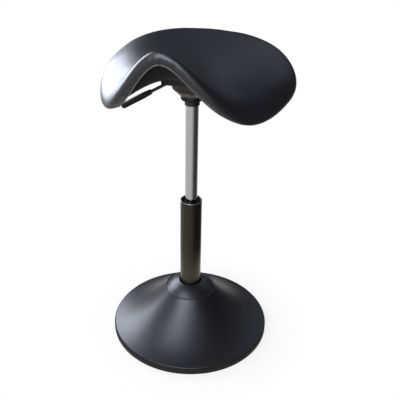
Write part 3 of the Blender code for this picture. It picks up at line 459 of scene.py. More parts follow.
def lining_cloth(place, main):
    """Bonded cloth: short fibres that cross, with a dimpled pattern."""
    along = place.stretched((1.0, 0.25, 1.0)).noise(1500.0, 3.0)
    across = place.stretched((0.25, 1.0, 1.0)).noise(1500.0, 3.0)
    dimples = place.cells(520.0, 0.1)
    fibres = along.at_least(across)
    return {
        "Base Color": fibres.ease(0.45, 0.75).mixed(main, scaled(main, 2.2)),
        "Roughness": 0.82 + 0.12 * fibres,
        "Normal": (0.6 * fibres + 0.4 * dimples).bump(0.45, 0.0006),
        "Specular IOR Level": 0.12,
        "Sheen Weight": 0.02,
        "Sheen Roughness": 0.45,
    }


def satin_plastic(place, main):
    """Moulded satin plastic: spark-etched texture and faint handling marks."""
    etched = place.noise(1900.0)
    marks = place.noise(14.0, 4.0, 0.6)
    return {
        "Base Color": marks.mixed(scaled(main, 0.9), scaled(main, 1.2)),
        "Roughness": 0.31 + 0.08 * marks + 0.05 * etched,
        "Normal": etched.bump(0.07, 0.0003),
        "Specular IOR Level": 0.85,
    }


def black_paint(place, main):
    """Semi-gloss paint: a slight orange peel, fine rubbed lines along the column, and a rubbed edge."""
    peel = place.noise(420.0)
    rubbed = place.stretched((1.0, 1.0, 0.012)).noise(900.0)
    bare = place.attribute("edge") * (0.6 + 0.6 * peel)
    paint = rubbed.mixed(scaled(main, 0.85), scaled(main, 1.35))
    return {
        "Base Color": bare.mixed(paint, BARE_STEEL),
        "Roughness": 0.13 + 0.09 * rubbed + 0.03 * peel + 0.15 * bare,
        "Metallic": bare,
        "Normal": peel.bump(0.05, 0.0004),
        "Specular IOR Level": 0.70,
        "Specular Tint": WARM_GLOSS,
    }


def moulded_plastic(place, main):
    """Black moulded plastic with a coarse matt texture."""
    grain = place.cells(1500.0)
    clouds = place.noise(60.0, 3.0)
    return {
        "Base Color": clouds.mixed(scaled(main, 0.85), scaled(main, 1.3)),
        "Roughness": 0.40 + 0.12 * clouds,
        "Normal": grain.bump(0.18, 0.0003),
        "Specular IOR Level": 0.22,
    }


def black_rubber(place, main):
    """Rubber: matt, with dust that gathers in patches."""
    dust = place.noise(34.0, 5.0, 0.65).ease(0.42, 0.80)
    grit = place.noise(1300.0)
    return {
        "Base Color": dust.mixed(main, scaled(main, 1.8)),
        "Roughness": 0.50 + 0.20 * dust + 0.06 * grit,
        "Normal": grit.bump(0.2, 0.0003),
        "Specular IOR Level": 0.14,
    }


def polished_chrome(place, main):
    """Chrome with the fine lines that the bush leaves along it."""
    lines = place.stretched((1.0, 1.0, 0.004)).noise(2200.0)
    haze = place.noise(45.0, 3.0)
    return {
        "Base Color": haze.mixed(scaled(main, 0.94), scaled(main, 1.06)),
        "Roughness": 0.05 + 0.05 * lines + 0.03 * haze,
        "Metallic": 1.0,
        "Normal": lines.bump(0.004, 0.0001),
    }


def plated_steel(place, main):
    """Zinc-plated steel, a little cloudy."""
    clouds = place.noise(240.0, 3.0)
    scratches = place.stretched((1.0, 0.06, 0.06)).noise(2400.0)
    return {
        "Base Color": clouds.mixed(scaled(main, 0.8), scaled(main, 1.15)),
        "Roughness": 0.24 + 0.12 * clouds + 0.08 * scratches,
        "Metallic": 1.0,
        "Normal": scratches.bump(0.08, 0.0001),
    }


def rough_iron(place, main):
    """Cast iron with its sand-cast skin."""
    sand = place.noise(700.0, 4.0, 0.65)
    rust = place.noise(40.0, 4.0, 0.6).ease(0.55, 0.80)
    return {
        "Base Color": rust.mixed(main, RUST),
        "Roughness": 0.60 + 0.25 * sand,
        "Metallic": 0.55 - 0.35 * rust,
        "Normal": sand.bump(0.5, 0.0008),
    }


def plywood_board(place, main):
    """Plywood: layers on its edges and stretched grain on its faces."""
    fibre = place.stretched((1.0, 0.05, 1.0)).noise(700.0, 4.0, 0.6)
    plies = place.node(
        "ShaderNodeTexWave",
        {"wave_type": "BANDS", "bands_direction": "Z"},
        {"Vector": place, "Scale": 110.0, "Distortion": 1.2, "Detail": 2.0},
        1,
    )
    grain = 0.65 * fibre + 0.35 * plies
    return {
        "Base Color": grain.mixed(scaled(main, 0.6), scaled(main, 1.2)),
        "Roughness": 0.55 + 0.2 * fibre,
        "Normal": fibre.bump(0.25, 0.0003),
        "Specular IOR Level": 0.2,
    }


def open_foam(place, main):
    """Moulded foam with its open cells."""
    cells = place.cells(900.0, 0.1)
    return {
        "Base Color": cells.mixed(scaled(main, 0.7), scaled(main, 1.1)),
        "Roughness": 0.85 + 0.1 * cells,
        "Normal": cells.bump(0.6, 0.0006),
    }


RECIPES = {
    "black_leather": leather,
    "dark_lining": lining_cloth,
    "foam": open_foam,
    "plywood": plywood_board,
    "chrome": polished_chrome,
    "bright_steel": plated_steel,
    "black_steel": black_paint,
    "black_plastic": moulded_plastic,
    "satin_black": satin_plastic,
    "rubber": black_rubber,
    "cast_iron": rough_iron,
}


def finish(slot):
    """The finish of one of the record's slots, made on first use."""
    name = f"stool_{slot}"
    colours = bpy.context.scene.stool.colours
    shades = [getattr(colours, slot)]
    # The leather's lighter edge colour is partly wear, partly painted reflection
    if slot == "black_leather":
        shades.append(colours.worn_leather)
    return bpy.data.materials.get(name) or finished(name, RECIPES[slot], *shades)


# Shapes


def rounded(outline):
    """Turns each (radius, height, fillet) corner of an outline into an arc."""
    points = []
    for index, corner in enumerate(outline):
        here = Vector(corner[:2])
        if len(corner) == 2:
            points.append(here)
            continue
        before = (Vector(outline[index - 1][:2]) - here).normalized()
        after = (Vector(outline[(index + 1) % len(outline)][:2]) - here).normalized()
        half = before.angle(after) / 2
        centre = here + (before + after).normalized() * corner[2] / math.sin(half)
        start = (here + before * corner[2] / math.tan(half) - centre).normalized()
        end = (here + after * corner[2] / math.tan(half) - centre).normalized()
        steps = [step / FILLET_STEPS for step in range(FILLET_STEPS + 1)]
        points += [centre + start.slerp(end, step) * corner[2] for step in steps]
    return points


def spun(outline, segments):
    """Spins a closed outline of (radius, height) points about the Z axis."""
    shape = bmesh.new()
    ring = [shape.verts.new((point[0], 0, point[1])) for point in outline]
    edges = [
        shape.edges.new((ring[index - 1], ring[index]))
        for index in range(len(ring))
        if outline[index - 1][0] > 0 or outline[index][0] > 0
    ]
    bmesh.ops.spin(
        shape,
        geom=ring + edges,
        cent=(0, 0, 0),
        axis=(0, 0, 1),
        angle=2 * math.pi,
        steps=segments,
        use_merge=True,
    )
    bmesh.ops.remove_doubles(shape, verts=shape.verts, dist=TINY)
    bmesh.ops.recalc_face_normals(shape, faces=shape.faces)
    return shape


def placed(name, data):
    """Adds an object with this data to the scene."""
    item = bpy.data.objects.new(name, data)
    bpy.context.scene.collection.objects.link(item)
    return item


def mesh_of(name, shape):
    """Turns a bmesh into a mesh."""
    mesh = bpy.data.meshes.new(name)
    shape.to_mesh(mesh)
    shape.free()
    return mesh


def smoothed(mesh):
    """Shades a mesh smooth, but for its sharp edges."""
    mesh.shade_smooth()
    mesh.set_sharp_from_angle(angle=SMOOTH_ANGLE)


def piece(name, shape, body, slot, nodes, material=None):
    """Makes a piece from a bmesh, which rides on a body and stands for some nodes."""
    mesh = mesh_of(name, shape)
    smoothed(mesh)
    mesh.materials.append(material or finish(slot))
    item = placed(name, mesh)
    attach(item, body)
    if nodes:
        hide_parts(*nodes)
    return item


def turned(name, outline, segments, body, slot, node):
    """A turned piece that stands for one node."""
    return piece(name, spun(rounded(outline), segments), body, slot, [node])


def modified(item, kind, **settings):
    """Gives a piece the mesh that a modifier makes of it."""
    modifier = item.modifiers.new("step", kind)
    for key, value in settings.items():
        setattr(modifier, key, value)
    depsgraph = bpy.context.evaluated_depsgraph_get()
    mesh = bpy.data.meshes.new_from_object(item.evaluated_get(depsgraph))
    item.modifiers.clear()
    old = item.data
    item.data = mesh
    bpy.data.meshes.remove(old)


def carve(item, shape, operation="DIFFERENCE"):
    """Cuts a shape out of a piece, or joins it on."""
    cutter = placed("cutter", mesh_of("cutter", shape))
    modified(item, "BOOLEAN", operation=operation, solver="EXACT", object=cutter)
    bpy.data.objects.remove(cutter, do_unlink=True)
    smoothed(item.data)


def shift(vertices, moves):
    for vertex, move in zip(vertices, moves):
        vertex.co += move


def mark_edge(item, values):
    """Says for each point how far a piece is worn there; on the seat's pad it also places a painted
    reflection.
    """
    item.data.attributes.new("edge", "FLOAT", "POINT").data.foreach_set("value", values)


def cross_bar(centre, radius, width):
    """A round bar along Y."""
    shape = bmesh.new()
    bmesh.ops.create_cone(
        shape,
        cap_ends=True,
        segments=LEVER_SEGMENTS,
        radius1=radius,
        radius2=radius,
        depth=width,
        matrix=Matrix.Translation(centre) @ Matrix.Rotation(math.pi / 2, 4, "X"),
    )
    return shape


# Seat


def through(seat, forward, rear, middle, front):
    """Parabola with the given values at the seat's rear end, over the column and at the front end."""
    span = seat.front + seat.rear
    return (
        middle * (1 - forward / seat.front) * (1 + forward / seat.rear)
        + front * forward * (forward + seat.rear) / (seat.front * span)
        + rear * forward * (forward - seat.front) / (seat.rear * span)
    )


def saddle_height(seat, forward, side):
    """Height of the saddle sheet: a ridge that rises to the front, with wings that fall from it."""
    if forward > 0:
        ridge = seat.front_rise * (forward / seat.front) ** seat.front_power
    else:
        ridge = seat.rear_rise * (forward / seat.rear) ** 2
    slope = through(seat, forward, seat.slope_rear, seat.slope_middle, seat.slope_front)
    softness = through(seat, forward, seat.soft_rear, seat.soft_middle, seat.soft_front)
    fall = math.hypot(slope * side, softness) - softness
    return seat.height + ridge - fall - seat.droop * (side / seat.half_width) ** 4


def saddle_point(seat, reach, angle, offset):
    """Point at a share of the outline's reach, lifted off the sheet along its normal."""
    cosine = math.cos(angle)
    forward = reach * cosine * (seat.front if cosine > 0 else seat.rear)
    shape = 1 - seat.taper * cosine + seat.waist * math.cos(2 * angle) + seat.shoulder * math.cos(3 * angle)
    side = reach * math.sin(angle) * seat.half_width * shape
    step = GAP
    climb = saddle_height(seat, forward + step, side) - saddle_height(seat, forward - step, side)
    lean = saddle_height(seat, forward, side + step) - saddle_height(seat, forward, side - step)
    normal = Vector((-lean, climb, 2 * step)).normalized()
    return Vector((side, -forward, saddle_height(seat, forward, side))) + normal * offset


def on_saddle(seat, section):
    """Spins a section of (share, offset) points and bends the disc over the saddle.

    Returns the shape and each vertex's (share, angle, offset).
    """
    shape = spun(section, SEAT_SEGMENTS)
    flat = []
    for vertex in shape.verts:
        reach = vertex.co.xy.length
        angle = math.atan2(vertex.co.y, vertex.co.x)
        angle -= CROWDING * math.sin(angle)
        flat.append((reach, angle, vertex.co.z))
        vertex.co = saddle_point(seat, *flat[-1])
    bmesh.ops.recalc_face_normals(shape, faces=shape.faces)
    return shape, flat


def hem_corner(seat):
    """Lowest point of the hem, as a share of the outline and an offset."""
    square = math.sqrt(1 - seat.hem**seat.edge_power)
    drop = HEM_DROP * seat.chamfer
    return seat.hem + drop / seat.half_width, drop - (seat.below - seat.slack) * square


def ease(value):
    """Runs smoothly from 0 to 1 while the value does."""
    value = min(1.0, max(0.0, value))
    return value * value * (3 - 2 * value)


def gathered(seat, flat):
    """How use and folds move each point: a rounder front edge, puckers under the edge and one pleat."""
    _, lowest = hem_corner(seat)
    moves = []
    for reach, angle, offset in flat:
        under = min(1.0, offset / lowest) if offset < 0 and reach >= seat.hem - TINY else 0.0
        waves = sum(math.sin(count * angle + start) for count, start in FOLDS) / len(FOLDS)
        lift = seat.pucker * waves * 6 * under**2 * (1 - under)
        if abs(angle) < PLEAT_ANGLE:
            lift += seat.pleat * under**4
        inward = max(0.0, lift) / seat.half_width
        if 0 < reach < 1 and offset > 0:
            worn_down = math.sqrt((1 - reach**seat.front_power_top) / (1 - reach**seat.edge_power)) - 1
            front = ease((math.cos(angle) - FRONT_START) / (FRONT_FULL - FRONT_START))
            lift = offset * worn_down * front
        place = saddle_point(seat, reach, angle, offset)
        moves.append(saddle_point(seat, reach - inward, angle, offset + lift) - place)
    return moves


def cushion_section(seat):
    """Section of the pad before it swells: crown, rolled edge, hem and the pocket for the shell."""
    reach = 1 - seat.slack / seat.half_width
    above = seat.above - seat.slack
    below = seat.below - seat.slack
    chamfer = seat.chamfer / seat.half_width
    hem_top = -seat.shell_bottom - GAP
    pocket = seat.hem + seat.pocket_room / seat.half_width

    def square(place):
        return math.sqrt(1 - (place / reach) ** seat.edge_power)

    def roll(angle, height):
        return reach * math.sin(angle) ** (2 / seat.edge_power), height * math.cos(angle)

    rim = math.pi / 2
    keel = math.acos(square(seat.hem + chamfer))
    points = [(0, above)]
    points += [(ring / CROWN_STEPS, above * square(ring / CROWN_STEPS)) for ring in CROWN_RINGS]
    points += [roll(math.radians(degrees), above) for degrees in ROLL_DEGREES]
    points += [roll(rim + (keel - rim) * step / KEEL_STEPS, -below) for step in range(1, KEEL_STEPS)]
    points += [
        (seat.hem + chamfer, -below * square(seat.hem + chamfer)),
        hem_corner(seat),
        (seat.hem, seat.chamfer - below * square(seat.hem)),
        (seat.hem, hem_top),
        (pocket, hem_top),
        (pocket, -seat.pocket),
    ]
    points += [(ring / CROWN_STEPS, -seat.pocket) for ring in POCKET_RINGS]
    return points


def points_of(mesh):
    flat = numpy.empty(len(mesh.vertices) * 3)
    mesh.vertices.foreach_get("co", flat)
    return flat.reshape(-1, 3)


def blurred(mesh, moves, held, rounds):
    """Evens out how the points of a mesh move, and leaves the held points where they are."""
    pairs = numpy.empty(len(mesh.edges) * 2, dtype=numpy.int64)
    mesh.edges.foreach_get("vertices", pairs)
    first, second = pairs.reshape(-1, 2).T
    count = numpy.bincount(pairs, minlength=len(moves))[:, None]
    for _ in range(rounds):
        total = numpy.zeros_like(moves)
        numpy.add.at(total, first, moves[second])
        numpy.add.at(total, second, moves[first])
        moves = 0.5 * moves + 0.5 * total / count
        moves[held] = 0
    return moves


def swell(item, held, cap):
    """Blows the pad up as cloth, on an even copy, and moves the pad's own points along with it."""
    scene = bpy.context.scene
    copy = placed("swelling", item.data.copy())
    modified(copy, "REMESH", mode="VOXEL", voxel_size=FACET)
    rest = points_of(copy.data)
    fixed = BVHTree.FromPolygons(
        [vertex.co for vertex in item.data.vertices],
        [face.vertices for face in item.data.polygons if all(held[index] for index in face.vertices)],
    )
    near = numpy.array([fixed.find_nearest(vertex.co)[3] < HELD_REACH for vertex in copy.data.vertices])
    group = copy.vertex_groups.new(name="held")
    group.add([int(index) for index in numpy.nonzero(near)[0]], 1.0, "REPLACE")
    cloth = copy.modifiers.new("air", "CLOTH")
    cloth.settings.use_pressure = True
    cloth.settings.uniform_pressure_force = PRESSURE
    cloth.settings.effector_weights.gravity = 0
    cloth.settings.vertex_group_mass = group.name
    cloth.point_cache.frame_start = 1
    cloth.point_cache.frame_end = LAST_FRAME
    for step in range(1, LAST_FRAME + 1):
        scene.frame_set(step)
    blown = copy.evaluated_get(bpy.context.evaluated_depsgraph_get())
    moves = points_of(blown.data) - rest
    scene.frame_set(1)
    normals = numpy.array([vertex.normal for vertex in copy.data.vertices])
    push = numpy.clip((moves * normals).sum(axis=1, keepdims=True), 0, cap)
    moves = normals * blurred(copy.data, push, near, BLUR_ROUNDS)
    faces = [tuple(face.vertices) for face in copy.data.polygons]
    tree = BVHTree.FromPolygons([Vector(point) for point in rest], faces)
    for vertex in item.data.vertices:
        if held[vertex.index]:
            continue
        spot, _, index, _ = tree.find_nearest(vertex.co)
        weights = poly_3d_calc([Vector(rest[corner]) for corner in faces[index]], spot)
        vertex.co += Vector(sum(weight * moves[corner] for weight, corner in zip(weights, faces[index])))
    bpy.data.objects.remove(copy, do_unlink=True)


class STOOL_OT_cushion(bpy.types.Operator):
    """Makes the leather-covered pad and the bead along its hem"""

    bl_idname = "stool.cushion"
    bl_label = "Seat cushion"

    def execute(self, context):
        seat = context.scene.stool.seat
        shape, flat = on_saddle(seat, cushion_section(seat))
        limit = seat.hem + seat.chamfer / seat.half_width + MARGIN
        held = [offset < 0 and reach <= limit for reach, _, offset in flat]
        # The rim and the whole underside take the lighter leather: partly wear, partly painted reflection
        wear_and_reflection = [max(0.0, (reach - WEAR_AND_REFLECTION_FROM) / (1 - WEAR_AND_REFLECTION_FROM)) for reach, _, _ in flat]
        edge = [1.0 if offset < 0 else min(1.0, value) for (_, _, offset), value in zip(flat, wear_and_reflection)]
        item = piece("seat_cushion", shape, "seat", "black_leather", ["seat_cover", "foam_pad"])
        swell(item, held, seat.swell)
        shift(item.data.vertices, gathered(seat, flat))
        mark_edge(item, edge)
        smooth = item.modifiers.new("smooth", "SUBSURF")
        smooth.levels = smooth.render_levels = 1

        radius = seat.piping
        corner, lowest = hem_corner(seat)
        bead = []
        for step in range(BEAD_STEPS):
            angle = 2 * math.pi * step / BEAD_STEPS
            out, up = radius * math.cos(angle), radius * math.sin(angle)
            bead.append((corner + out / seat.half_width, lowest + up))
        shape, flat = on_saddle(seat, bead)
        level = [(corner, angle, lowest) for _, angle, _ in flat]
        shift(shape.verts, gathered(seat, level))
        # The piping's light colour is partly a painted highlight along the hem
        material = finished("stool_piping_painted_highlight", leather, context.scene.stool.colours.piping, PIPING_WEAR_AND_REFLECTION)
        piece("hem_piping", shape, "seat", "black_leather", [], material)
        return {"FINISHED"}


class STOOL_OT_lining(bpy.types.Operator):
    """Makes the cloth that covers the shell from below"""

    bl_idname = "stool.lining"
    bl_label = "Seat lining"

    def execute(self, context):
        seat = context.scene.stool.seat
        edge = seat.hem - 2 * GAP / seat.front
        upper = []
        for step in range(LINING_STEPS + 1):
            along = step / LINING_STEPS
            sag = seat.lining_sag * 4 * along * (1 - along)
            ring = seat.lining_hole + (edge - seat.lining_hole) * along
            upper.append((ring, -seat.shell_bottom - GAP - sag))
        section = [(ring, offset - seat.lining_thickness) for ring, offset in upper] + upper[::-1]
        shape, _ = on_saddle(seat, section)
        area = sum(face.calc_area() for face in shape.faces) / 2
        item = piece("lining_sheet", shape, "seat", "dark_lining", ["seat_lining"])
        return {"FINISHED"}


# Base


class STOOL_OT_base(bpy.types.Operator):
    """Makes the bell, the cap on it and the foot ring"""

    bl_idname = "stool.base"
    bl_label = "Base"

    def execute(self, context):
        base = context.scene.stool.base
        lift = context.scene.stool.lift
        lip_bottom = bottom_of("base_cover")
        cap_bottom, cap_top = heights_of("collar_cap")
        rise = base.cap_overlap * math.tan(base.neck_slope) - 2 * GAP
        neck = Vector((base.cap_radius - base.cap_overlap, cap_bottom + rise))
        lip = Vector((base.bell_radius, lip_bottom + base.bell_lip))
        pull = (lip - neck).length / 3
        neck_way = Vector((math.cos(base.neck_slope), -math.sin(base.neck_slope)))
        lip_way = Vector((-math.cos(base.lip_slope), math.sin(base.lip_slope)))
        outside = interpolate_bezier(neck, neck + neck_way * pull, lip + lip_way * pull, lip, FLARE_STEPS + 1)
        steps = [end - start for start, end in zip(outside, outside[1:])]
        steps.append(-lip_way)
        inside = [
            point + Vector((step.y, -step.x)).normalized() * base.bell_wall
            for point, step in zip(outside, steps)
        ]
        inside[-1] = Vector((base.bell_radius - base.bell_wall, lip_bottom))
        outline = [
            *outside[:-1],
            (*lip, base.bell_lip * LIP_FILLET),
            (base.bell_radius, lip_bottom, BROKEN_EDGE),
            *reversed(inside),
        ]
        turned("bell_cover", outline, BASE_SEGMENTS, "base", "satin_black", "base_cover")

        hole = lift.tube_radius + base.column_gap
        lip_top = cap_bottom + base.cap_lip
        crest = base.cap_radius - base.cap_groove / 2
        foot = Vector((crest - base.cap_groove, lip_top))
        brim = Vector((hole + base.cap_wall / 3, cap_top))
        pull = (brim - foot).length / 3
        dome = interpolate_bezier(
            foot, foot + pull * DOME_FOOT, brim + pull * DOME_BRIM, brim, FLARE_STEPS // 2
        )
        drop = Vector((0, base.cap_wall * 2 / 3))
        ceiling = [point - drop for point in dome[::-1] if point.x > hole + base.cap_wall]
        sleeve_end = cap_top - (cap_top - cap_bottom) * 2 / 3
        outline = [
            (base.cap_radius, cap_bottom, CAP_FILLETS[0]),
            (base.cap_radius, lip_top, CAP_FILLETS[1]),
            (crest, lip_top, CAP_FILLETS[2]),
            (crest - base.cap_groove / 3, lip_top - base.cap_groove / 2),
            *dome,
            (hole, cap_top - base.cap_wall / 3),
            (hole, sleeve_end),
            (hole + base.cap_wall, sleeve_end),
            *ceiling,
            (crest, cap_bottom + base.cap_lip / 3),
        ]
        turned("bell_cap", outline, BASE_SEGMENTS, "base", "satin_black", "collar_cap")

        bottom, top = heights_of("base_ring")
        inner = radius_of("sole_pad") + GAP
        ledge = top_of("sole_pad")
        band = base.ring_radius - base.ring_band
        outline = [
            (inner, bottom),
            (base.ring_radius, bottom, base.ring_fillet),
            (base.ring_radius, top, base.ring_fillet),
            (band, top),
            (band, ledge),
            (inner, ledge),
        ]
        turned("foot_ring", outline, BASE_SEGMENTS, "base", "rubber", "base_ring")
        return {"FINISHED"}


# Column


class STOOL_OT_column(bpy.types.Operator):
    """Makes the black tube, its bush and the bright cylinder"""

    bl_idname = "stool.column"
    bl_label = "Column"

    def execute(self, context):
        lift = context.scene.stool.lift
        bottom, top = heights_of("outer_tube")
        straight = top_of("column_socket")
        bore = lift.tube_radius - lift.tube_wall
        foot = lift.tube_radius - lift.tube_taper
        hole = lift.rod_hole - FOOT_STEP
        outline = [
            (hole, bottom),
            (foot, bottom),
            (lift.tube_radius, straight),
            (lift.tube_radius, top - lift.tube_wall),
            (lift.tube_radius, top, lift.tube_wall * MOUTH_FILLET),
            (bore, top, lift.tube_wall * MOUTH_FILLET),
            (bore, top - lift.tube_wall),
            (bore, straight),
            (foot - lift.tube_wall, bottom + lift.tube_foot),
            (hole, bottom + lift.tube_foot),
        ]
        tube = turned("column_tube", outline, COLUMN_SEGMENTS, "base", "black_steel", "outer_tube")
        edge = [float(vertex.co.z > top - lift.tube_wall / 2) for vertex in tube.data.vertices]
        mark_edge(tube, edge)

        bottom, top = heights_of("guide_bush")
        inner = lift.cylinder_radius + 2 * GAP
        outer = bore - GAP
        outline = [
            (inner, bottom),
            (outer, bottom),
            (outer, top, BUSH_FILLET),
            (inner, top, lift.tube_wall / 2),
        ]
        turned("column_bush", outline, COLUMN_SEGMENTS, "base", "black_plastic", "guide_bush")

        bottom, top = heights_of("gas_cylinder")
        straight = bottom_of("seat_socket")
        bore = lift.cylinder_radius - lift.cylinder_wall
        lip = lift.cylinder_wall
        button = radius_of("valve_button") * BUTTON_HOLE
        outline = [
            (lift.rod_hole, bottom),
            (lift.cylinder_radius, bottom, lip / 2),
            (lift.cylinder_radius, straight),
            (lift.cylinder_radius - lift.cylinder_taper, top),
            (button, top),
            (button, top - 2 * lip),
            (bore - lift.cylinder_taper, top - 2 * lip),
            (bore, straight),
            (bore, bottom + lip),
            (lift.rod_hole, bottom + lip),
        ]
        turned("bright_cylinder", outline, COLUMN_SEGMENTS, "seat", "chrome", "gas_cylinder")
        return {"FINISHED"}


# Release mechanism


class STOOL_OT_mechanism(bpy.types.Operator):
    """Makes the seat's socket, the ring round it and the notched cup"""

    bl_idname = "stool.mechanism"
    bl_label = "Release mechanism"

    def execute(self, context):
        lift = context.scene.stool.lift
        bottom, top = heights_of("seat_socket")
        outer = radius_of("seat_socket")
        mouth = outer - lift.socket_wall
        outline = [
            (mouth, bottom, BROKEN_EDGE),
            (outer, bottom, lift.socket_wall / 3),
            (outer, top),
            (mouth - lift.cylinder_taper, top),
        ]
        turned("socket_sleeve", outline, COLUMN_SEGMENTS, "seat", "black_steel", "seat_socket")

        bore = outer + GAP
        bottom, top = heights_of("socket_ring")
        ring = radius_of("socket_ring")
        outline = [
            (bore, bottom),
            (ring, bottom, (top - bottom) / 3),
            (ring, top, (top - bottom) / 8),
            (bore, top),
        ]
        turned("sleeve_ring", outline, COLUMN_SEGMENTS, "seat", "black_plastic", "socket_ring")

        bottom, rim = heights_of("mechanism_cup")
        cup = radius_of("mechanism_cup")
        shoulder = bottom + lift.cup_bowl
        wall = lift.cup_wall
        outline = [
            (bore, bottom),
            (lift.cup_floor, bottom, wall * 2),
            (cup, shoulder, wall * 2),
            (cup, rim),
            (cup - wall, rim),
            (cup - wall, shoulder + wall / 2, wall),
            (lift.cup_floor - wall / 2, bottom + wall, wall),
            (bore, bottom + wall),
        ]
        bowl = turned("lever_cup", outline, COLUMN_SEGMENTS, "seat", "black_steel", "mechanism_cup")
        drop = (cup - lift.lever_bend) * math.tan(lift.lever_slope)
        notch_bottom = lift.lever_height - drop - 2 * lift.lever_radius
        height = rim + 2 * wall - notch_bottom
        width = 2 * lift.lever_radius + 2 * wall
        notch = bmesh.new()
        bmesh.ops.create_cube(
            notch,
            size=1,
            matrix=Matrix.Translation((-cup, 0, notch_bottom + height / 2))
            @ Matrix.Diagonal((8 * wall, width, height, 1)),
        )
        carve(bowl, notch)
        return {"FINISHED"}


class STOOL_OT_lever(bpy.types.Operator):
    """Makes the bent lever rod and its grip"""

    bl_idname = "stool.lever"
    bl_label = "Lever"

    def execute(self, context):
        lift = context.scene.stool.lift
        slope = lift.lever_slope
        way = Vector((math.cos(slope), -math.sin(slope)))
        corner = Vector((lift.lever_bend, lift.lever_height))
        tip = corner + way * ((lift.lever_reach - corner.x) / way.x)
        start = tip - way * lift.grip_length
        bend = math.tan(slope / 2) * lift.lever_bend_radius
        centre = Vector((lift.lever_bend - bend, lift.lever_height - lift.lever_bend_radius))
        path = [Vector((LEVER_START, lift.lever_height))]
        for step in range(FILLET_STEPS + 1):
            angle = slope * step / FILLET_STEPS
            path.append(centre + lift.lever_bend_radius * Vector((math.sin(angle), math.cos(angle))))
        path.append(start + way * (lift.grip_bore - GAP))
        shape = bmesh.new()
        loops = []
        for index, point in enumerate(path):
            ahead = path[min(index + 1, len(path) - 1)] - path[max(index - 1, 0)]
            lean = Matrix.Rotation(math.pi / 2 + math.atan2(ahead.y, ahead.x), 4, "Y")
            ring = bmesh.ops.create_circle(
                shape,
                segments=LEVER_SEGMENTS,
                radius=lift.lever_radius,
                cap_ends=index in (0, len(path) - 1),
                matrix=Matrix.Translation((-point.x, 0, point.y)) @ lean,
            )
            corners = set(ring["verts"])
            loops.append([edge for edge in shape.edges if corners.issuperset(edge.verts)])
        for near, far in zip(loops, loops[1:]):
            bmesh.ops.bridge_loops(shape, edges=near + far)
        bmesh.ops.recalc_face_normals(shape, faces=shape.faces)
        rod = piece("lever_bar", shape, "lever", "black_steel", ["lever_rod"])
        pivot = Vector((-lift.lever_pivot, 0, lift.lever_height))
        carve(rod, cross_bar(pivot, lift.barrel_radius, lift.barrel_width), "UNION")
        carve(rod, cross_bar(pivot, lift.pin_radius, 2 * lift.barrel_width))

        bore = lift.lever_radius + GAP
        outline = [
            (bore, 0),
            (lift.grip_neck, 0, (lift.grip_neck - bore) / 2),
            (lift.grip_radius, lift.grip_length / 4, GRIP_FILLET),
            (lift.grip_radius, lift.grip_length, lift.grip_radius * TIP_FILLET),
            (0, lift.grip_length),
            (0, lift.grip_bore),
            (bore, lift.grip_bore),
        ]
        shape = spun(rounded(outline), LEVER_SEGMENTS)
        lean = Matrix.Rotation(-math.pi / 2 - slope, 4, "Y")
        place = Matrix.Translation((-start.x, 0, start.y)) @ lean
        bmesh.ops.transform(shape, verts=shape.verts, matrix=place)
        piece("lever_handle", shape, "lever", "black_plastic", ["lever_grip"])
        return {"FINISHED"}


class STOOL_OT_hardware(bpy.types.Operator):
    """Gives every part of the frame the finish of its slot"""

    bl_idname = "stool.hardware"
    bl_label = "Hardware"

    def execute(self, context):
        for row in frame["record"]["subparts"]:
            item = frame["nodes"][row["node"]]
            item.data.materials.clear()
            item.data.materials.append(finish(row["material_slot"]))
        return {"FINISHED"}


# Stage


def lamp(name, place, target, width, height, power, shade):
    """A soft rectangular lamp, which the camera doesn't see."""
    light = bpy.data.lights.new(name, "AREA")
    light.shape = "RECTANGLE"
    light.size = width
    light.size_y = height
    light.energy = power
    light.color = shade
    item = placed(name, light)
    item.location = place
    item.rotation_euler = (Vector(target) - Vector(place)).to_track_quat("-Z", "Y").to_euler()
    item.visible_camera = False


def rays(start):
    """Wires that are 1 on camera rays, on reflected rays and on rays through clear things."""
    kinds = ("Is Camera Ray", "Is Glossy Ray", "Is Transmission Ray")
    return [start.node("ShaderNodeLightPath", {}, {}, kind) for kind in kinds]


def white_floor(shade):
    """Pale floor that keeps a faint shadow, turns white at its edge and fades out of reflections."""
    material, start, shader = blank("stage_floor")
    tree = material.node_tree
    feed(shader, {"Base Color": (*shade, 1), "Roughness": 0.9})
    reach = start.node("ShaderNodeVectorMath", {"operation": "LENGTH"}, {0: start.place()}, 1)
    camera, glossy, clear = rays(start)
    seen = camera.at_least(glossy).at_least(clear)
    glow = start.node("ShaderNodeEmission", {}, {"Color": WHITE, "Strength": 1.0})
    keep = FLOOR_GLOW + (1 - FLOOR_GLOW) * reach.ease(*FLOOR_FADE)
    pale = (seen * keep).shaders(Wire(tree, shader.outputs[0]), glow)
    gone = start.node("ShaderNodeBsdfTransparent", {}, {})
    floor = (glossy * reach.ease(*MIRROR_FADE)).shaders(pale, gone)
    tree.links.new(floor.socket, tree.nodes["Material Output"].inputs["Surface"])
    return material


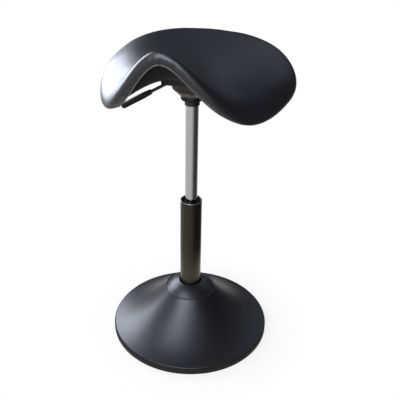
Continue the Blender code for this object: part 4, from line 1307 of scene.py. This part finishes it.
def light_room(shade):
    """White to the camera, an even light on everything, and a dim room with soft glows in reflections."""
    world = bpy.data.worlds.new("stage_room")
    world.use_nodes = True
    bpy.context.scene.world = world
    tree = world.node_tree
    start = Wire(tree)
    camera, glossy, clear = rays(start)
    way = start.node("ShaderNodeTexCoord", {}, {}, "Generated")

    def towards(direction):
        return start.node("ShaderNodeVectorMath", {"operation": "DOT_PRODUCT"}, {0: way, 1: direction}, 1)

    def glow(direction, low, high, strength):
        return strength * towards(direction).ease(low, high)

    up = towards((0.0, 0.0, 1.0))
    bright = DIM + glow(*BACKDROP) * (1 - up.ease(*BACKDROP_TOP))
    for row in GLOWS:
        bright = bright + glow(*row)
    level = glossy * bright + (1 - glossy) * EVEN
    tint = up.ease(-HORIZON, HORIZON).mixed(WHITE[:3], shade)
    room = start.node("ShaderNodeBackground", {}, {"Color": tint, "Strength": level})
    white = start.node("ShaderNodeBackground", {}, {"Color": WHITE, "Strength": 1.0})
    sky = camera.at_least(clear).shaders(room, white)
    tree.links.new(sky.socket, tree.nodes["World Output"].inputs["Surface"])


class STOOL_OT_stage(bpy.types.Operator):
    """Makes the floor, the lamps, the room and the camera"""

    bl_idname = "stool.stage"
    bl_label = "Stage"

    def execute(self, context):
        scene = context.scene
        stage = scene.stool.stage
        shape = bmesh.new()
        bmesh.ops.create_circle(shape, cap_ends=True, segments=FLOOR_SEGMENTS, radius=stage.floor_radius)
        floor = placed("floor", mesh_of("floor", shape))
        floor.data.materials.append(white_floor(stage.floor))
        light_room(stage.room)

        for name, row in LAMPS.items():
            lamp(name, *row, stage.daylight)

        camera = bpy.data.cameras.new("camera")
        camera.lens = stage.lens
        camera.sensor_width = 36.0
        camera.shift_x = stage.shift
        item = placed("camera", camera)
        item.matrix_world = (
            Matrix.Rotation(stage.azimuth, 4, "Z")
            @ Matrix.Translation((0, -stage.distance, stage.height))
            @ Matrix.Rotation(math.pi / 2 - stage.pitch, 4, "X")
            @ Matrix.Rotation(stage.roll, 4, "Z")
        )
        scene.camera = item
        scene.view_settings.view_transform = "Standard"
        return {"FINISHED"}


class STOOL_PT_panel(bpy.types.Panel):
    """Lists the steps that dress the stool"""

    bl_idname = "STOOL_PT_panel"
    bl_label = "Saddle stool"
    bl_space_type = "VIEW_3D"
    bl_region_type = "UI"
    bl_category = "Stool"

    def draw(self, context):
        for operator in OPERATORS:
            self.layout.operator(operator.bl_idname)


OPERATORS = (
    STOOL_OT_hardware,
    STOOL_OT_base,
    STOOL_OT_column,
    STOOL_OT_mechanism,
    STOOL_OT_lever,
    STOOL_OT_lining,
    STOOL_OT_cushion,
    STOOL_OT_stage,
)
CLASSES = (
    SeatSizes,
    BaseSizes,
    LiftSizes,
    StoolColours,
    StageSettings,
    StoolSettings,
    *OPERATORS,
    STOOL_PT_panel,
)


def register():
    for item in CLASSES:
        bpy.utils.register_class(item)
    bpy.types.Scene.stool = PointerProperty(type=StoolSettings)


def unregister():
    del bpy.types.Scene.stool
    for item in reversed(CLASSES):
        bpy.utils.unregister_class(item)


def main():
    register()
    bpy.ops.stool.hardware()
    bpy.ops.stool.base()
    bpy.ops.stool.column()
    bpy.ops.stool.mechanism()
    bpy.ops.stool.lever()
    bpy.ops.stool.lining()
    bpy.ops.stool.cushion()
    bpy.ops.stool.stage()
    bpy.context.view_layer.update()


if __name__ == "__main__":
    main()
